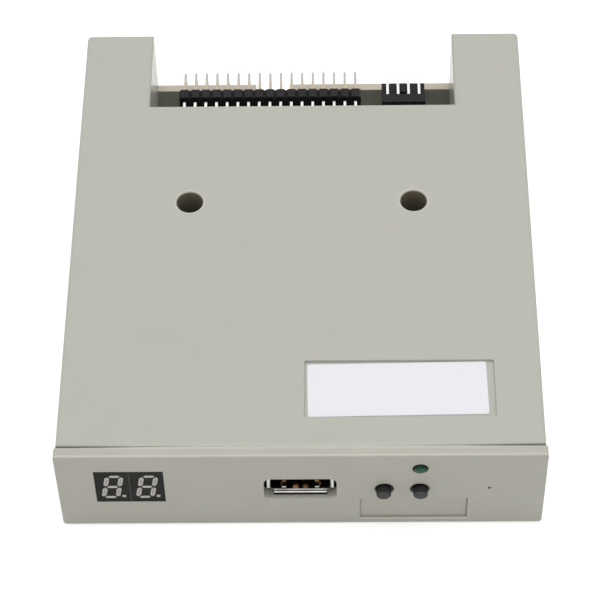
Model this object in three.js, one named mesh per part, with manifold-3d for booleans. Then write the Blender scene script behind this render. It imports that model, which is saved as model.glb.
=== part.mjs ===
import * as THREE from 'three';
import { mergeVertices } from 'three/addons/utils/BufferGeometryUtils.js';
import Module from 'manifold-3d';

const wasm = await Module();
wasm.setup();

// A 3.5 inch drive that takes a memory stick in place of a disc.
// Sizes are millimetres. X runs right as seen from the front, Y runs to the rear, Z up.
// Depths are counted from the front face of the bezel and heights from the underside.
// The last lines move the whole so that its origin is the middle of its underside.

// Housing
const BODY_WIDTH = 101.6;
const BODY_HEIGHT = 25.4;
const LENGTH = 120;
const WALL = 2;
const TOP_WALL = 2.2;
const FLOOR = 2;
const SEAM_SHARE = 0.315;
const HOUSING_EDGE = 0.6;
const REAR_CORNER = 1;
const FRONT_BOW = 0.3;
const NOTCH_LENGTH = 22.5;
const NOTCH_WIDTH = 70.4;
const KEY_LEFT = -11.4;
const KEY_WIDTH = 8;
const KEY_DEPTH = 4.6;
const TONGUE_THICKNESS = 1.2;
const TONGUE_HEIGHT = 1.4;
const TONGUE_FRONT = 14;
const TONGUE_SETBACK = 4;
const RIB_THICKNESS = 1.2;
const RIB_DROP = 1.6;
const RIB_INSET = 6.8;
const RIB_FRONT = 12;
const RIB_SETBACK = 8.7;

// Clearances
const SLIP = 0.2;
const SEAM_GAP = 0.05;
const BOARD_GAP = 0.5;
const HOLE_GAP = 0.3;
const OVERRUN = 1;

// Screw wells in the cover, and the bosses under them
const WELL_SPACING = 50;
const WELL_SHARE = 0.71;
const WELL_BORE = 5.9;
const WELL_WALL = 1.5;
const WELL_BOTTOM = 2.2;
const WELL_LEAD = 0.3;
const BOSS_DIAMETER = 7;
const BOSS_PILOT = 2.9;
const BOSS_PILOT_DEPTH = 5;
const SCREW_HEAD = 5.2;
const SCREW_HEAD_HEIGHT = 2;
const SCREW_SHANK = 2.4;
const SCREW_LENGTH = 8;
const SCREW_TIP = 0.8;
const SCREW_SLOT = 0.8;
const SCREW_SLOT_LENGTH = 3;
const SCREW_SLOT_DEPTH = 1.1;
const SCREW_CROWN_SHARE = 0.6;

// Label recess in the cover, and its paper label
const RECESS_LEFT = 0.75;
const RECESS_WIDTH = 40.15;
const RECESS_FRONT = 9.95;
const RECESS_LENGTH = 14.55;
const RECESS_DEPTH = 0.6;
const RECESS_CORNER = 0.5;
const LABEL_WIDTH = 37.9;
const LABEL_LENGTH = 13.5;
const LABEL_THICKNESS = 0.12;
const LABEL_SHIFT_X = -0.45;
const LABEL_SHIFT_Y = -0.1;
const LABEL_TURN = THREE.MathUtils.degToRad(0.8);

// Drive bay screw holes in the sides
const BAY_HOLE = 2.6;
const BAY_HOLE_HEIGHT = 5;
const BAY_HOLE_FIRST = 21;
const BAY_HOLE_SPACING = 70;
const BAY_BOSS_WIDTH = 8;
const BAY_BOSS_REACH = 5;
const BAY_BOSS_END = 1;

// Bezel
const BEZEL_OVERHANG = 0.4;
const BEZEL_DROP = 0.1;
const BEZEL_THICKNESS = 2.6;
const BEZEL_CORNER = 0.8;
const BEZEL_EDGE = 0.25;
const SKIRT_THICKNESS = 1.4;
const SKIRT_DEPTH = 3.2;
const SKIRT_BREAK = 6;
const SKIRT_BREAK_DROP = 3.8;
const CLIP_DEPTH = 9;
const CLIP_LOW = 3;
const CLIP_DROP = 1.4;
const CLIP_HOOK_LENGTH = 2.4;
const CLIP_HOOK_REACH = 1.1;
const PANEL_LEFT = 12.4;
const PANEL_WIDTH = 22.65;
const PANEL_LOW = 2.2;
const PANEL_HEIGHT = 7.25;
const PANEL_DEPTH = 0.4;
const PANEL_CORNER = 0.3;
const DIMPLE_X = 39.45;
const DIMPLE_HEIGHT = 13.33;
const DIMPLE_DIAMETER = 0.8;
const DIMPLE_DEPTH = 0.8;

// Main board
const BOARD_THICKNESS = 1.6;
const BOARD_FRONT = 4;
const BOARD_MARGIN = 2.8;
const BOARD_SETBACK = 9;
const BOARD_PASS = 2;
const BOARD_SCREW_HOLE = 3.4;
const POST_DIAMETER = 6;
const PEG_DIAMETER = 2.4;
const PEG_HEIGHT = 2.6;
const POST_INSET = 8.8;
const POST_SHARES = [0.22, 0.945];

// Two digit display and its board
const DISPLAY_INSET = 15.25;
const DISPLAY_CLEARANCE = 1.55;
const DIGIT_BODY_WIDTH = 7.2;
const DIGIT_BODY_HEIGHT = 11.45;
const DIGIT_BODY_DEPTH = 6.2;
const DIGIT_FACE = 0.8;
const DIGIT_SIDE = 0.6;
const DIGIT_RECESS = 0.15;
const DIGIT_DROP = 0.13;
const DIGIT_SPREAD = 1.47;
const DIGIT_RISE = 3.85;
const DIGIT_SLANT_SHARE = 0.16;
const BAR_WIDTH = 0.8;
const UPRIGHT_WIDTH = 1;
const SEGMENT_GAP = 0.2;
const DOT_DIAMETER = 0.9;
const DOT_X = 2.2;
const DOT_DROP = 3.5;
const RESIN_GAP = 0.05;
const DISPLAY_BOARD_THICKNESS = 1.2;
const DISPLAY_BOARD_WIDTH = 17.4;
const DISPLAY_BOARD_DROP = 1.2;
const DISPLAY_BOARD_GAP = 1.2;
const LINK_PINS = 5;
const DRIVER_LENGTH = 9;
const DRIVER_WIDTH = 4;
const DRIVER_THICKNESS = 1.6;
const DRIVER_LEADS = 7;
const DRIVER_GAP = 0.3;
const LINK_LEG = 1.5;

// USB socket
const USB_X = -0.2;
const USB_LIFT = 0.65;
const USB_WIDTH = 13.1;
const USB_THICKNESS = 5.7;
const USB_SHEET = 0.3;
const USB_CORNER = 0.6;
const USB_RECESS = 1.35;
const USB_LENGTH = 14.15;
const USB_LIP_LENGTH = 0.55;
const USB_SIDE_FLARE = 0.7;
const USB_FLARE = 0.75;
const USB_LIP_CUT = 1;
const USB_SIDE_LIP = 3.2;
const USB_OPENING_SIDE = 1.08;
const USB_OPENING_RISE = 1.015;
const USB_OPENING_CORNER = 1.5;
const USB_SPRING_WIDTH = 1.8;
const USB_SPRING_LENGTH = 5.5;
const USB_SPRING_X = 3.3;
const USB_SPRING_SETBACK = 0.8;
const USB_LEG_WIDTH = 1.8;
const USB_LEG_FIRST = 5.25;
const USB_LEG_SPACING = 6;
const USB_LEG_HOLE = 2.3;
const USB_TONGUE_SIDE = 1;
const USB_TONGUE_THICKNESS = 1.84;
const USB_TONGUE_RISE = 0.06;
const USB_TONGUE_SETBACK = 2.05;
const USB_TONGUE_TAPER = 0.4;
const USB_BLOCK_LENGTH = 3;
const USB_BLOCK_GAP = 0.1;
const USB_CONTACT_WIDTH = 1;
const USB_CONTACT_SHEET = 0.25;
const USB_CONTACT_INNER = 1;
const USB_CONTACT_OUTER = 3.5;
const USB_CONTACT_SETBACK = 0.6;
const USB_CONTACT_TAIL = 1;
const USB_CONTACT_HOLE = 1.4;

// Push buttons and their switches
const BUTTON_X = 24.85;
const BUTTON_SPACING = 7.4;
const BUTTON_RISE = 3.5;
const BUTTON_HOLE = 4.07;
const BUTTON_DIAMETER = 3.05;
const BUTTON_PROUD = 1.75;
const BUTTON_EDGE = 0.25;
const BUTTON_COLLAR = 4.2;
const BUTTON_COLLAR_THICKNESS = 0.8;
const BUTTON_TRAVEL = 0.3;
const BUTTON_SPARE = 0.1;
const SWITCH_OFFSET = 0.15;
const SWITCH_WIDTH = 6;
const SWITCH_HEIGHT = 6.4;
const SWITCH_BODY_DEPTH = 3.4;
const SWITCH_SHEET = 0.3;
const SWITCH_SETBACK = 0.5;
const SWITCH_POCKET = 4.8;
const SWITCH_POCKET_DEPTH = 2;
const SWITCH_ARM = 2.6;
const SWITCH_BORE = 3.6;
const SWITCH_LEG_WIDTH = 0.8;
const SWITCH_LEG_HOLE = 1.25;

// Indicator
const LED_TOP_SHARE = 0.191;
const LED_HOLE = 3.4;
const LED_DIAMETER = 3;
const LED_FLANGE = 3.8;
const LED_FLANGE_THICKNESS = 1;
const LED_BODY = 4.4;
const LED_PROUD = 0.8;
const LED_LEAD = 0.5;
const LED_LEAD_SPACING = 2.54;
const LED_LEAD_REACH = 3.5;
const LED_LEAD_HOLE = 0.95;

// Pin headers
const PIN_SPACING = 2.54;
const PIN_WIDTH = 0.64;
const PIN_TIP_WIDTH = 0.4;
const PIN_HOLE_DIAMETER = 1.05;
const PIN_HOLE_SIDES = 6;
const SOLDER_TAIL = 1.4;
const HEADER_NICK = 0.45;
const HEADER_STANDOFF = 0.2;
const RIBBON_PINS = 17;
const RIBBON_X = -7.85;
const RIBBON_SETBACK = 10.3;
const RIBBON_PIN_LENGTH = 6.45;
const RIBBON_FIRST_LEG = 1.5;
const POWER_PIN_SPACING = 2.5;
const POWER_PINS = 4;
const POWER_X = 23.9;
const POWER_SETBACK = 12.2;
const POWER_WALL = 2.5;
const POWER_WIDTH = 10.2;
const POWER_HEIGHT = 5.3;
const POWER_SHELF = 1.6;
const POWER_SHELF_LENGTH = 6.8;
const POWER_PIN_HEIGHT = 3.4;
const POWER_PIN_LENGTH = 7;
const POWER_LEG = 1.6;
const POWER_GUIDE_WIDTH = 0.7;
const POWER_GUIDE_HEIGHT = 1;
const POWER_KEY_WIDTH = 1.3;
const POWER_KEY_HEIGHT = 1.1;
const POWER_KEY_SETBACK = 3;
const POWER_RIB_SETBACK = 1;
const POST_PIN_HEIGHT = 8.5;
const SELECT_PINS = 6;
const SELECT_ROWS = 2;
const SELECT_X = 16;
const SELECT_SHARE = 0.923;
const SERVICE_PINS = 4;
const SERVICE_X = -30;
const SERVICE_SHARE = 0.527;
const JUMPER_ROOF = 0.8;
const JUMPER_PLACE = 1;

// Chips and small components
const LEAD_THICKNESS = 0.2;
const LEAD_FOOT = 0.6;
const LEAD_REACH = 1;
const CHIP_STANDOFF = 0.05;
const PROCESSOR_SIZE = 7;
const PROCESSOR_THICKNESS = 0.9;
const PROCESSOR_DIMPLE = 0.8;
const PROCESSOR_DIMPLE_INSET = 1.1;
const PROCESSOR_X = -2;
const PROCESSOR_SHARE = 0.4835;
const LOGIC_LENGTH = 4.9;
const LOGIC_WIDTH = 3.9;
const LOGIC_THICKNESS = 1.5;
const LOGIC_LEAD_SPACING = 1.27;
const LOGIC_LEADS = 4;
const LOGIC_LEAD = 0.42;
const LOGIC_X = -14;
const LOGIC_SPACING = 13;
const LOGIC_SHARE = 0.879;
const CRYSTAL_LENGTH = 11.2;
const CRYSTAL_WIDTH = 4.6;
const CRYSTAL_HEIGHT = 3.5;
const CRYSTAL_RIM = 0.4;
const CRYSTAL_X = -20;
const CRYSTAL_SHARE = 0.4615;
const REGULATOR_LENGTH = 6.5;
const REGULATOR_WIDTH = 3.5;
const REGULATOR_THICKNESS = 1.6;
const REGULATOR_TAB = 3;
const REGULATOR_LEAD = 0.7;
const REGULATOR_LEAD_SPACING = 2.3;
const REGULATOR_LEADS = 3;
const REGULATOR_X = 34;
const REGULATOR_SHARE = 0.615;
const CAPACITOR_DIAMETER = 6.3;
const CAPACITOR_HEIGHT = 7.5;
const CAPACITOR_WAIST = 0.35;
const CAPACITOR_WAIST_HEIGHT = 1.6;
const CAPACITOR_EDGE = 0.4;
const CAPACITOR_X = 34;
const CAPACITOR_SHARES = [0.44, 0.747];

// Places that follow from the sizes above
const SEAM_HEIGHT = BODY_HEIGHT * SEAM_SHARE;
const CEILING = BODY_HEIGHT - TOP_WALL;
const BOARD_LOW = SEAM_HEIGHT;
const BOARD_TOP = BOARD_LOW + BOARD_THICKNESS;
const NOTCH_FRONT = LENGTH - NOTCH_LENGTH;
const NOTCH_HALF = NOTCH_WIDTH / 2;
const COVER_FRONT = BEZEL_THICKNESS + SEAM_GAP;
const INNER_HALF = BODY_WIDTH / 2 - WALL;
const BOARD_HALF = INNER_HALF - BOARD_MARGIN;
const BOARD_SHOULDER = NOTCH_FRONT - WALL - BOARD_GAP;
const BOARD_REAR = LENGTH - BOARD_SETBACK;
const depthOnBoard = (share) => BOARD_FRONT + share * (BOARD_SHOULDER - BOARD_FRONT);
const WELL_DEPTH_AT = depthOnBoard(WELL_SHARE);
const SELECT_DEPTH_AT = depthOnBoard(SELECT_SHARE);
const SERVICE_DEPTH_AT = depthOnBoard(SERVICE_SHARE);
const SCREW_SEAT = BOARD_TOP + SEAM_GAP + WELL_BOTTOM;
const BEZEL_WIDTH = BODY_WIDTH + 2 * BEZEL_OVERHANG;
const BEZEL_HEIGHT = BODY_HEIGHT - BEZEL_DROP;
const SKIRT_TOP = CEILING - SLIP;
const CLIP_TOP = SEAM_HEIGHT - CLIP_DROP;
const DISPLAY_X = DISPLAY_INSET - BEZEL_WIDTH / 2;
const DISPLAY_TOP = SKIRT_TOP - SKIRT_THICKNESS - DISPLAY_CLEARANCE;
const DISPLAY_HEIGHT_AT = DISPLAY_TOP - DIGIT_BODY_HEIGHT / 2;
const DIGIT_FRONT = DIGIT_RECESS;
const DIGIT_BACK = DIGIT_FRONT + DIGIT_BODY_DEPTH;
const DISPLAY_WIDTH = 2 * DIGIT_BODY_WIDTH + SEAM_GAP;
const DISPLAY_BOARD_BACK = DIGIT_BACK + DISPLAY_BOARD_THICKNESS;
const DISPLAY_BOARD_LOW = BOARD_TOP - DISPLAY_BOARD_DROP;
const DISPLAY_BOARD_TOP = CEILING - DISPLAY_BOARD_GAP;
const DISPLAY_CUT_HALF = DISPLAY_BOARD_WIDTH / 2 + BOARD_GAP;
const DISPLAY_CUT_REAR = DISPLAY_BOARD_BACK + BOARD_GAP;
const LINK_FRONT = DISPLAY_CUT_REAR + BOARD_GAP;
const USB_HEIGHT_AT = BOARD_TOP + USB_LIFT + USB_THICKNESS / 2;
const USB_FRONT = USB_RECESS;
const USB_TUBE_FRONT = USB_FRONT + USB_LIP_LENGTH;
const USB_REAR = USB_FRONT + USB_LENGTH;
const BUTTON_HEIGHT_AT = BOARD_TOP + BUTTON_RISE;
const SWITCH_FRONT = BEZEL_THICKNESS + SWITCH_SETBACK;
const SWITCH_TOP = BOARD_TOP + SWITCH_HEIGHT;
const LED_ROOM = CEILING - SWITCH_TOP - LED_FLANGE;
const LED_HEIGHT_AT = CEILING - LED_TOP_SHARE * LED_ROOM - LED_FLANGE / 2;
const RIBBON_FRONT = LENGTH - RIBBON_SETBACK;
const POWER_FRONT = LENGTH - POWER_SETBACK;
const RIBBON_FIRST_X = RIBBON_X - ((RIBBON_PINS - 1) * PIN_SPACING) / 2;
const POWER_FIRST_X = POWER_X - ((POWER_PINS - 1) * POWER_PIN_SPACING) / 2;
const HEADER_LOW = BOARD_TOP + HEADER_STANDOFF;

// Finishes
const HOUSING_PLASTIC = { color: 0xb9b7ae, roughness: 0.55, metalness: 0 };
const BEZEL_PLASTIC = { color: 0xb2b0a7, roughness: 0.5, metalness: 0 };
const PAPER = { color: 0xe9e9ef, roughness: 0.75, metalness: 0 };
const STEEL = { color: 0xb8b9ba, roughness: 0.32, metalness: 1 };
const TINNED = { color: 0xd2d0c8, roughness: 0.28, metalness: 1 };
const GILT = { color: 0xc9a45c, roughness: 0.3, metalness: 1 };
const BLACK_PLASTIC = { color: 0x1c1c1e, roughness: 0.5, metalness: 0 };
const BOARD_GREEN = { color: 0x1f5a34, roughness: 0.45, metalness: 0 };
const SEGMENT_RESIN = { color: 0xbebcb6, roughness: 0.4, metalness: 0 };
const LED_GREEN = { color: 0x235a41, roughness: 0.15, metalness: 0 };
const CAN_METAL = { color: 0xa9abad, roughness: 0.35, metalness: 1 };

// Outlines

function rectangle(left, right, low, high, radius = 0) {
  const shape = new THREE.Shape();
  if (radius <= 0) {
    shape.moveTo(left, low);
    shape.lineTo(right, low);
    shape.lineTo(right, high);
    shape.lineTo(left, high);
    shape.closePath();
    return shape;
  }
  const quarter = Math.PI / 2;
  shape.moveTo(left + radius, low);
  shape.lineTo(right - radius, low);
  shape.absarc(right - radius, low + radius, radius, -quarter, 0);
  shape.lineTo(right, high - radius);
  shape.absarc(right - radius, high - radius, radius, 0, quarter);
  shape.lineTo(left + radius, high);
  shape.absarc(left + radius, high - radius, radius, quarter, 2 * quarter);
  shape.lineTo(left, low + radius);
  shape.absarc(left + radius, low + radius, radius, 2 * quarter, 3 * quarter);
  return shape;
}

function polygon(points) {
  return new THREE.Shape(points.map(([a, b]) => new THREE.Vector2(a, b)));
}

function circle(x, y, diameter, sides = 24) {
  const radius = diameter / 2;
  const corner = (i) => (2 * Math.PI * i) / sides;
  const point = (i) => [x + radius * Math.cos(corner(i)), y + radius * Math.sin(corner(i))];
  return polygon(Array.from({ length: sides }, (_, i) => point(i)));
}

// The plan of the housing, drawn in by an inset. The rear has a wide notch for the plugs.
function housingPlan(inset, front, bow, notched = true) {
  const half = BODY_WIDTH / 2 - inset;
  const rear = LENGTH - inset;
  const corner = Math.max(REAR_CORNER - inset, 0);
  const shape = new THREE.Shape();
  shape.moveTo(-half, front + bow);
  if (bow > 0) {
    shape.quadraticCurveTo(0, front - bow, half, front + bow);
  } else {
    shape.lineTo(half, front);
  }
  shape.lineTo(half, rear - corner);
  if (corner > 0) shape.absarc(half - corner, rear - corner, corner, 0, Math.PI / 2);
  if (notched) {
    const inner = NOTCH_HALF + inset;
    shape.lineTo(inner, rear);
    shape.lineTo(inner, NOTCH_FRONT - inset);
    shape.lineTo(-inner, NOTCH_FRONT - inset);
    shape.lineTo(-inner, rear);
  }
  shape.lineTo(corner - half, rear);
  if (corner > 0) shape.absarc(corner - half, rear - corner, corner, Math.PI / 2, Math.PI);
  shape.lineTo(-half, front + bow);
  return shape;
}

// A strip of pin places with a small nick in its far side between neighbours, as header bodies have.
function nickedStrip(left, places, low, high) {
  const right = left + places * PIN_SPACING;
  const points = [[left, low], [right, low], [right, high - HEADER_NICK], [right - HEADER_NICK, high]];
  for (let x = right - PIN_SPACING; x > left + HEADER_NICK; x -= PIN_SPACING) {
    points.push([x + HEADER_NICK, high], [x, high - HEADER_NICK], [x - HEADER_NICK, high]);
  }
  points.push([left + HEADER_NICK, high], [left, high - HEADER_NICK]);
  return polygon(points);
}

// Solids

function extrude(shape, from, to, options = {}) {
  const settings = { depth: to - from, bevelEnabled: false, curveSegments: 3, ...options };
  return new THREE.ExtrudeGeometry(shape, settings).translate(0, 0, from);
}

// The same, with every edge of both ends rounded.
function roundedExtrude(shape, from, to, edge) {
  return extrude(shape, from + edge, to - edge, {
    bevelEnabled: true,
    bevelThickness: edge,
    bevelSize: edge,
    bevelOffset: -edge,
    bevelSegments: 2,
  });
}

// A shape drawn as width and height, pushed along the depth.
const WIDTH_HEIGHT_TO_DEPTH = new THREE.Matrix4().set(1, 0, 0, 0, 0, 0, -1, 0, 0, 1, 0, 0, 0, 0, 0, 1);
function alongY(shape, from, to) {
  return extrude(shape, -to, -from).applyMatrix4(WIDTH_HEIGHT_TO_DEPTH);
}

// A shape drawn as depth and height, pushed along the width.
const DEPTH_HEIGHT_TO_WIDTH = new THREE.Matrix4().set(0, 0, 1, 0, 1, 0, 0, 0, 0, 1, 0, 0, 0, 0, 0, 1);
function alongX(shape, from, to) {
  return extrude(shape, from, to).applyMatrix4(DEPTH_HEIGHT_TO_WIDTH);
}

function box(left, right, front, rear, low, high) {
  const geometry = new THREE.BoxGeometry(right - left, rear - front, high - low);
  return geometry.translate((left + right) / 2, (front + rear) / 2, (low + high) / 2);
}

// A profile of radius and depth, turned about the depth axis.
function turnedAlongY(points, sides = 32) {
  const profile = points.map(([radius, depth]) => new THREE.Vector2(radius, depth));
  return new THREE.LatheGeometry(profile, sides);
}

// A profile of radius and height, turned about the height axis.
function turnedAlongZ(points, sides = 32) {
  return turnedAlongY(points, sides).applyMatrix4(WIDTH_HEIGHT_TO_DEPTH);
}

function solid(geometry) {
  const bare = geometry.clone();
  bare.deleteAttribute('normal');
  bare.deleteAttribute('uv');
  const merged = mergeVertices(bare);
  return new wasm.Manifold(new wasm.Mesh({
    numProp: 3,
    vertProperties: new Float32Array(merged.attributes.position.array),
    triVerts: new Uint32Array(merged.index.array),
  }));
}

function shaped(form) {
  const mesh = form.getMesh();
  const geometry = new THREE.BufferGeometry();
  geometry.setAttribute('position', new THREE.BufferAttribute(mesh.vertProperties, mesh.numProp));
  geometry.setIndex(new THREE.BufferAttribute(mesh.triVerts, 1));
  const flat = geometry.toNonIndexed();
  flat.computeVertexNormals();
  return flat;
}

const join = (form, ...pieces) => pieces.reduce((whole, next) => whole.add(solid(next)), form);
const cut = (form, ...pieces) => pieces.reduce((whole, next) => whole.subtract(solid(next)), form);

const drive = new THREE.Group();

function add(name, geometry, finish, parent = drive) {
  const mesh = new THREE.Mesh(geometry, new THREE.MeshStandardMaterial(finish));
  mesh.name = name;
  parent.add(mesh);
  return mesh;
}

const sides = [['left', -1], ['right', 1]];
const buttonPlaces = [['left', BUTTON_X - BUTTON_SPACING], ['right', BUTTON_X]];
const switchPlaces = buttonPlaces.map(([name, x], i) => [name, x + sides[i][1] * SWITCH_OFFSET]);

// Cover: a shell with a rear notch, two screw wells and a recess for the label

function wellPlaces() {
  return sides.map(([, side]) => (side * WELL_SPACING) / 2);
}

function topCover() {
  const below = SEAM_HEIGHT - OVERRUN - HOUSING_EDGE;
  const wide = BODY_WIDTH / 2 + OVERRUN;
  const recess = rectangle(RECESS_LEFT, RECESS_LEFT + RECESS_WIDTH, RECESS_FRONT,
    RECESS_FRONT + RECESS_LENGTH, RECESS_CORNER);
  const hollow = extrude(housingPlan(WALL, COVER_FRONT - OVERRUN, 0), below - OVERRUN, CEILING);
  const underside = box(-wide, wide, 0, LENGTH + OVERRUN, below - OVERRUN, SEAM_HEIGHT);
  const boardPass = box(-NOTCH_HALF, NOTCH_HALF, NOTCH_FRONT - WALL - OVERRUN,
    NOTCH_FRONT + OVERRUN, SEAM_HEIGHT - OVERRUN, BOARD_TOP + BOARD_PASS);
  const labelRecess = extrude(recess, BODY_HEIGHT - RECESS_DEPTH, BODY_HEIGHT + OVERRUN);
  let form = solid(roundedExtrude(housingPlan(0, COVER_FRONT, FRONT_BOW), below, BODY_HEIGHT, HOUSING_EDGE));
  form = cut(form, hollow, underside, boardPass, labelRecess);

  // The wells and ribs hang into the hollow from the ceiling.
  const rooted = CEILING + SEAM_GAP;
  for (const [, side] of sides) {
    const x = side * (INNER_HALF - RIB_INSET);
    form = join(form, box(x - RIB_THICKNESS / 2, x + RIB_THICKNESS / 2, RIB_FRONT,
      BOARD_SHOULDER - RIB_SETBACK, CEILING - RIB_DROP, rooted));
  }
  for (const x of wellPlaces()) {
    const outside = circle(x, WELL_DEPTH_AT, WELL_BORE + 2 * WELL_WALL, 32);
    form = join(form, extrude(outside, BOARD_TOP + SEAM_GAP, rooted));
    form = cut(form, screwWell().translate(x, WELL_DEPTH_AT, 0));
  }
  return shaped(form);
}

// What a well takes out of the cover: the screw's hole, the bore over it and a small lead at the top.
function screwWell() {
  const hole = SCREW_SHANK / 2 + HOLE_GAP;
  const bore = WELL_BORE / 2;
  const above = BODY_HEIGHT + OVERRUN;
  return turnedAlongZ([
    [0, BOARD_TOP - OVERRUN],
    [hole, BOARD_TOP - OVERRUN],
    [hole, SCREW_SEAT],
    [bore, SCREW_SEAT],
    [bore, BODY_HEIGHT - WELL_LEAD],
    [bore + WELL_LEAD, BODY_HEIGHT],
    [bore + WELL_LEAD, above],
    [0, above],
  ], 32);
}

function labelSheet() {
  return box(-LABEL_WIDTH / 2, LABEL_WIDTH / 2, -LABEL_LENGTH / 2, LABEL_LENGTH / 2, 0, LABEL_THICKNESS);
}

// Tray: floor, low walls, the lip behind the plugs, bosses for the screws and posts for the board

const postPlaces = POST_SHARES.flatMap((share) => sides.map(([, side]) => [side * (INNER_HALF - POST_INSET),
  depthOnBoard(share)]));
const bayHoles = [BAY_HOLE_FIRST, BAY_HOLE_FIRST + BAY_HOLE_SPACING];

function baseTray() {
  const above = SEAM_HEIGHT + OVERRUN + HOUSING_EDGE;
  const wide = BODY_WIDTH / 2 + OVERRUN;
  const plan = housingPlan(0, COVER_FRONT, FRONT_BOW, false);
  const hollow = extrude(housingPlan(WALL, COVER_FRONT - OVERRUN, 0), FLOOR, above + OVERRUN);
  const bay = box(-NOTCH_HALF, NOTCH_HALF, NOTCH_FRONT - WALL - OVERRUN, LENGTH - WALL, FLOOR, above);
  const key = box(KEY_LEFT, KEY_LEFT + KEY_WIDTH, LENGTH - WALL - OVERRUN, LENGTH + OVERRUN,
    SEAM_HEIGHT - KEY_DEPTH, above);
  const lid = box(-wide, wide, 0, LENGTH + OVERRUN, SEAM_HEIGHT, above + OVERRUN);
  let form = solid(roundedExtrude(plan, 0, above, HOUSING_EDGE));
  form = cut(form, hollow, bay, key, lid);

  const rooted = FLOOR - SEAM_GAP;
  for (const x of wellPlaces()) {
    form = join(form, extrude(circle(x, WELL_DEPTH_AT, BOSS_DIAMETER, 24), rooted, BOARD_LOW));
    form = cut(form, extrude(circle(x, WELL_DEPTH_AT, BOSS_PILOT, 16), BOARD_LOW - BOSS_PILOT_DEPTH, above));
  }
  for (const [x, y] of postPlaces) {
    form = join(form, extrude(circle(x, y, POST_DIAMETER, 20), rooted, BOARD_LOW));
    form = join(form, extrude(circle(x, y, PEG_DIAMETER, 8), rooted, BOARD_LOW + PEG_HEIGHT));
  }
  for (const [, side] of sides) {
    form = sideWallFeatures(form, side);
  }
  return shaped(form);
}

// Each side wall has a tongue for the cover, two drive bay holes and a window for the bezel's clip.
function sideWallFeatures(wall, side) {
  const across = (a, b) => [Math.min(side * a, side * b), Math.max(side * a, side * b)];
  const tongueOut = INNER_HALF - SLIP;
  const tongue = box(...across(tongueOut - TONGUE_THICKNESS, tongueOut), TONGUE_FRONT,
    LENGTH - TONGUE_SETBACK, SEAM_HEIGHT - TONGUE_HEIGHT, SEAM_HEIGHT + TONGUE_HEIGHT);
  const foot = box(...across(tongueOut - TONGUE_THICKNESS, INNER_HALF + SEAM_GAP), TONGUE_FRONT,
    LENGTH - TONGUE_SETBACK, SEAM_HEIGHT - TONGUE_HEIGHT, SEAM_HEIGHT);
  let form = join(wall, tongue, foot);
  const inner = INNER_HALF - BAY_BOSS_REACH;
  for (const y of bayHoles) {
    form = join(form, box(...across(inner, INNER_HALF + SEAM_GAP), y - BAY_BOSS_WIDTH / 2,
      y + BAY_BOSS_WIDTH / 2, FLOOR - SEAM_GAP, BOARD_LOW));
    const ends = across(inner + BAY_BOSS_END, BODY_WIDTH / 2 + OVERRUN);
    form = cut(form, alongX(circle(y, BAY_HOLE_HEIGHT, BAY_HOLE, 16), ...ends));
  }
  const clipEnd = BEZEL_THICKNESS + CLIP_DEPTH;
  return cut(form, box(...across(INNER_HALF - SLIP, BODY_WIDTH / 2 + OVERRUN),
    clipEnd - CLIP_HOOK_LENGTH - SLIP, clipEnd + SLIP, CLIP_LOW - SLIP, CLIP_TOP + SLIP));
}

// Screw: a pan head with a cross, standing on its seat at height zero
function caseScrew() {
  const head = SCREW_HEAD / 2;
  const shank = SCREW_SHANK / 2;
  const blank = turnedAlongZ([
    [0, -SCREW_LENGTH],
    [shank - SCREW_TIP, -SCREW_LENGTH],
    [shank, SCREW_TIP - SCREW_LENGTH],
    [shank, 0],
    [head, 0],
    [head, SCREW_HEAD_HEIGHT * SCREW_CROWN_SHARE],
    [head * SCREW_CROWN_SHARE, SCREW_HEAD_HEIGHT],
    [0, SCREW_HEAD_HEIGHT],
  ], 16);
  const long = SCREW_SLOT_LENGTH / 2;
  const thin = SCREW_SLOT / 2;
  const low = SCREW_HEAD_HEIGHT - SCREW_SLOT_DEPTH;
  const high = SCREW_HEAD_HEIGHT + OVERRUN;
  return shaped(cut(solid(blank), box(-long, long, -thin, thin, low, high),
    box(-thin, thin, -long, long, low, high)));
}

// Bezel: a thin front plate with a skirt and two clips that reach into the housing

const displayHalf = DISPLAY_WIDTH / 2 + SEAM_GAP;
const displayRise = DIGIT_BODY_HEIGHT / 2 + SEAM_GAP;

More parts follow.
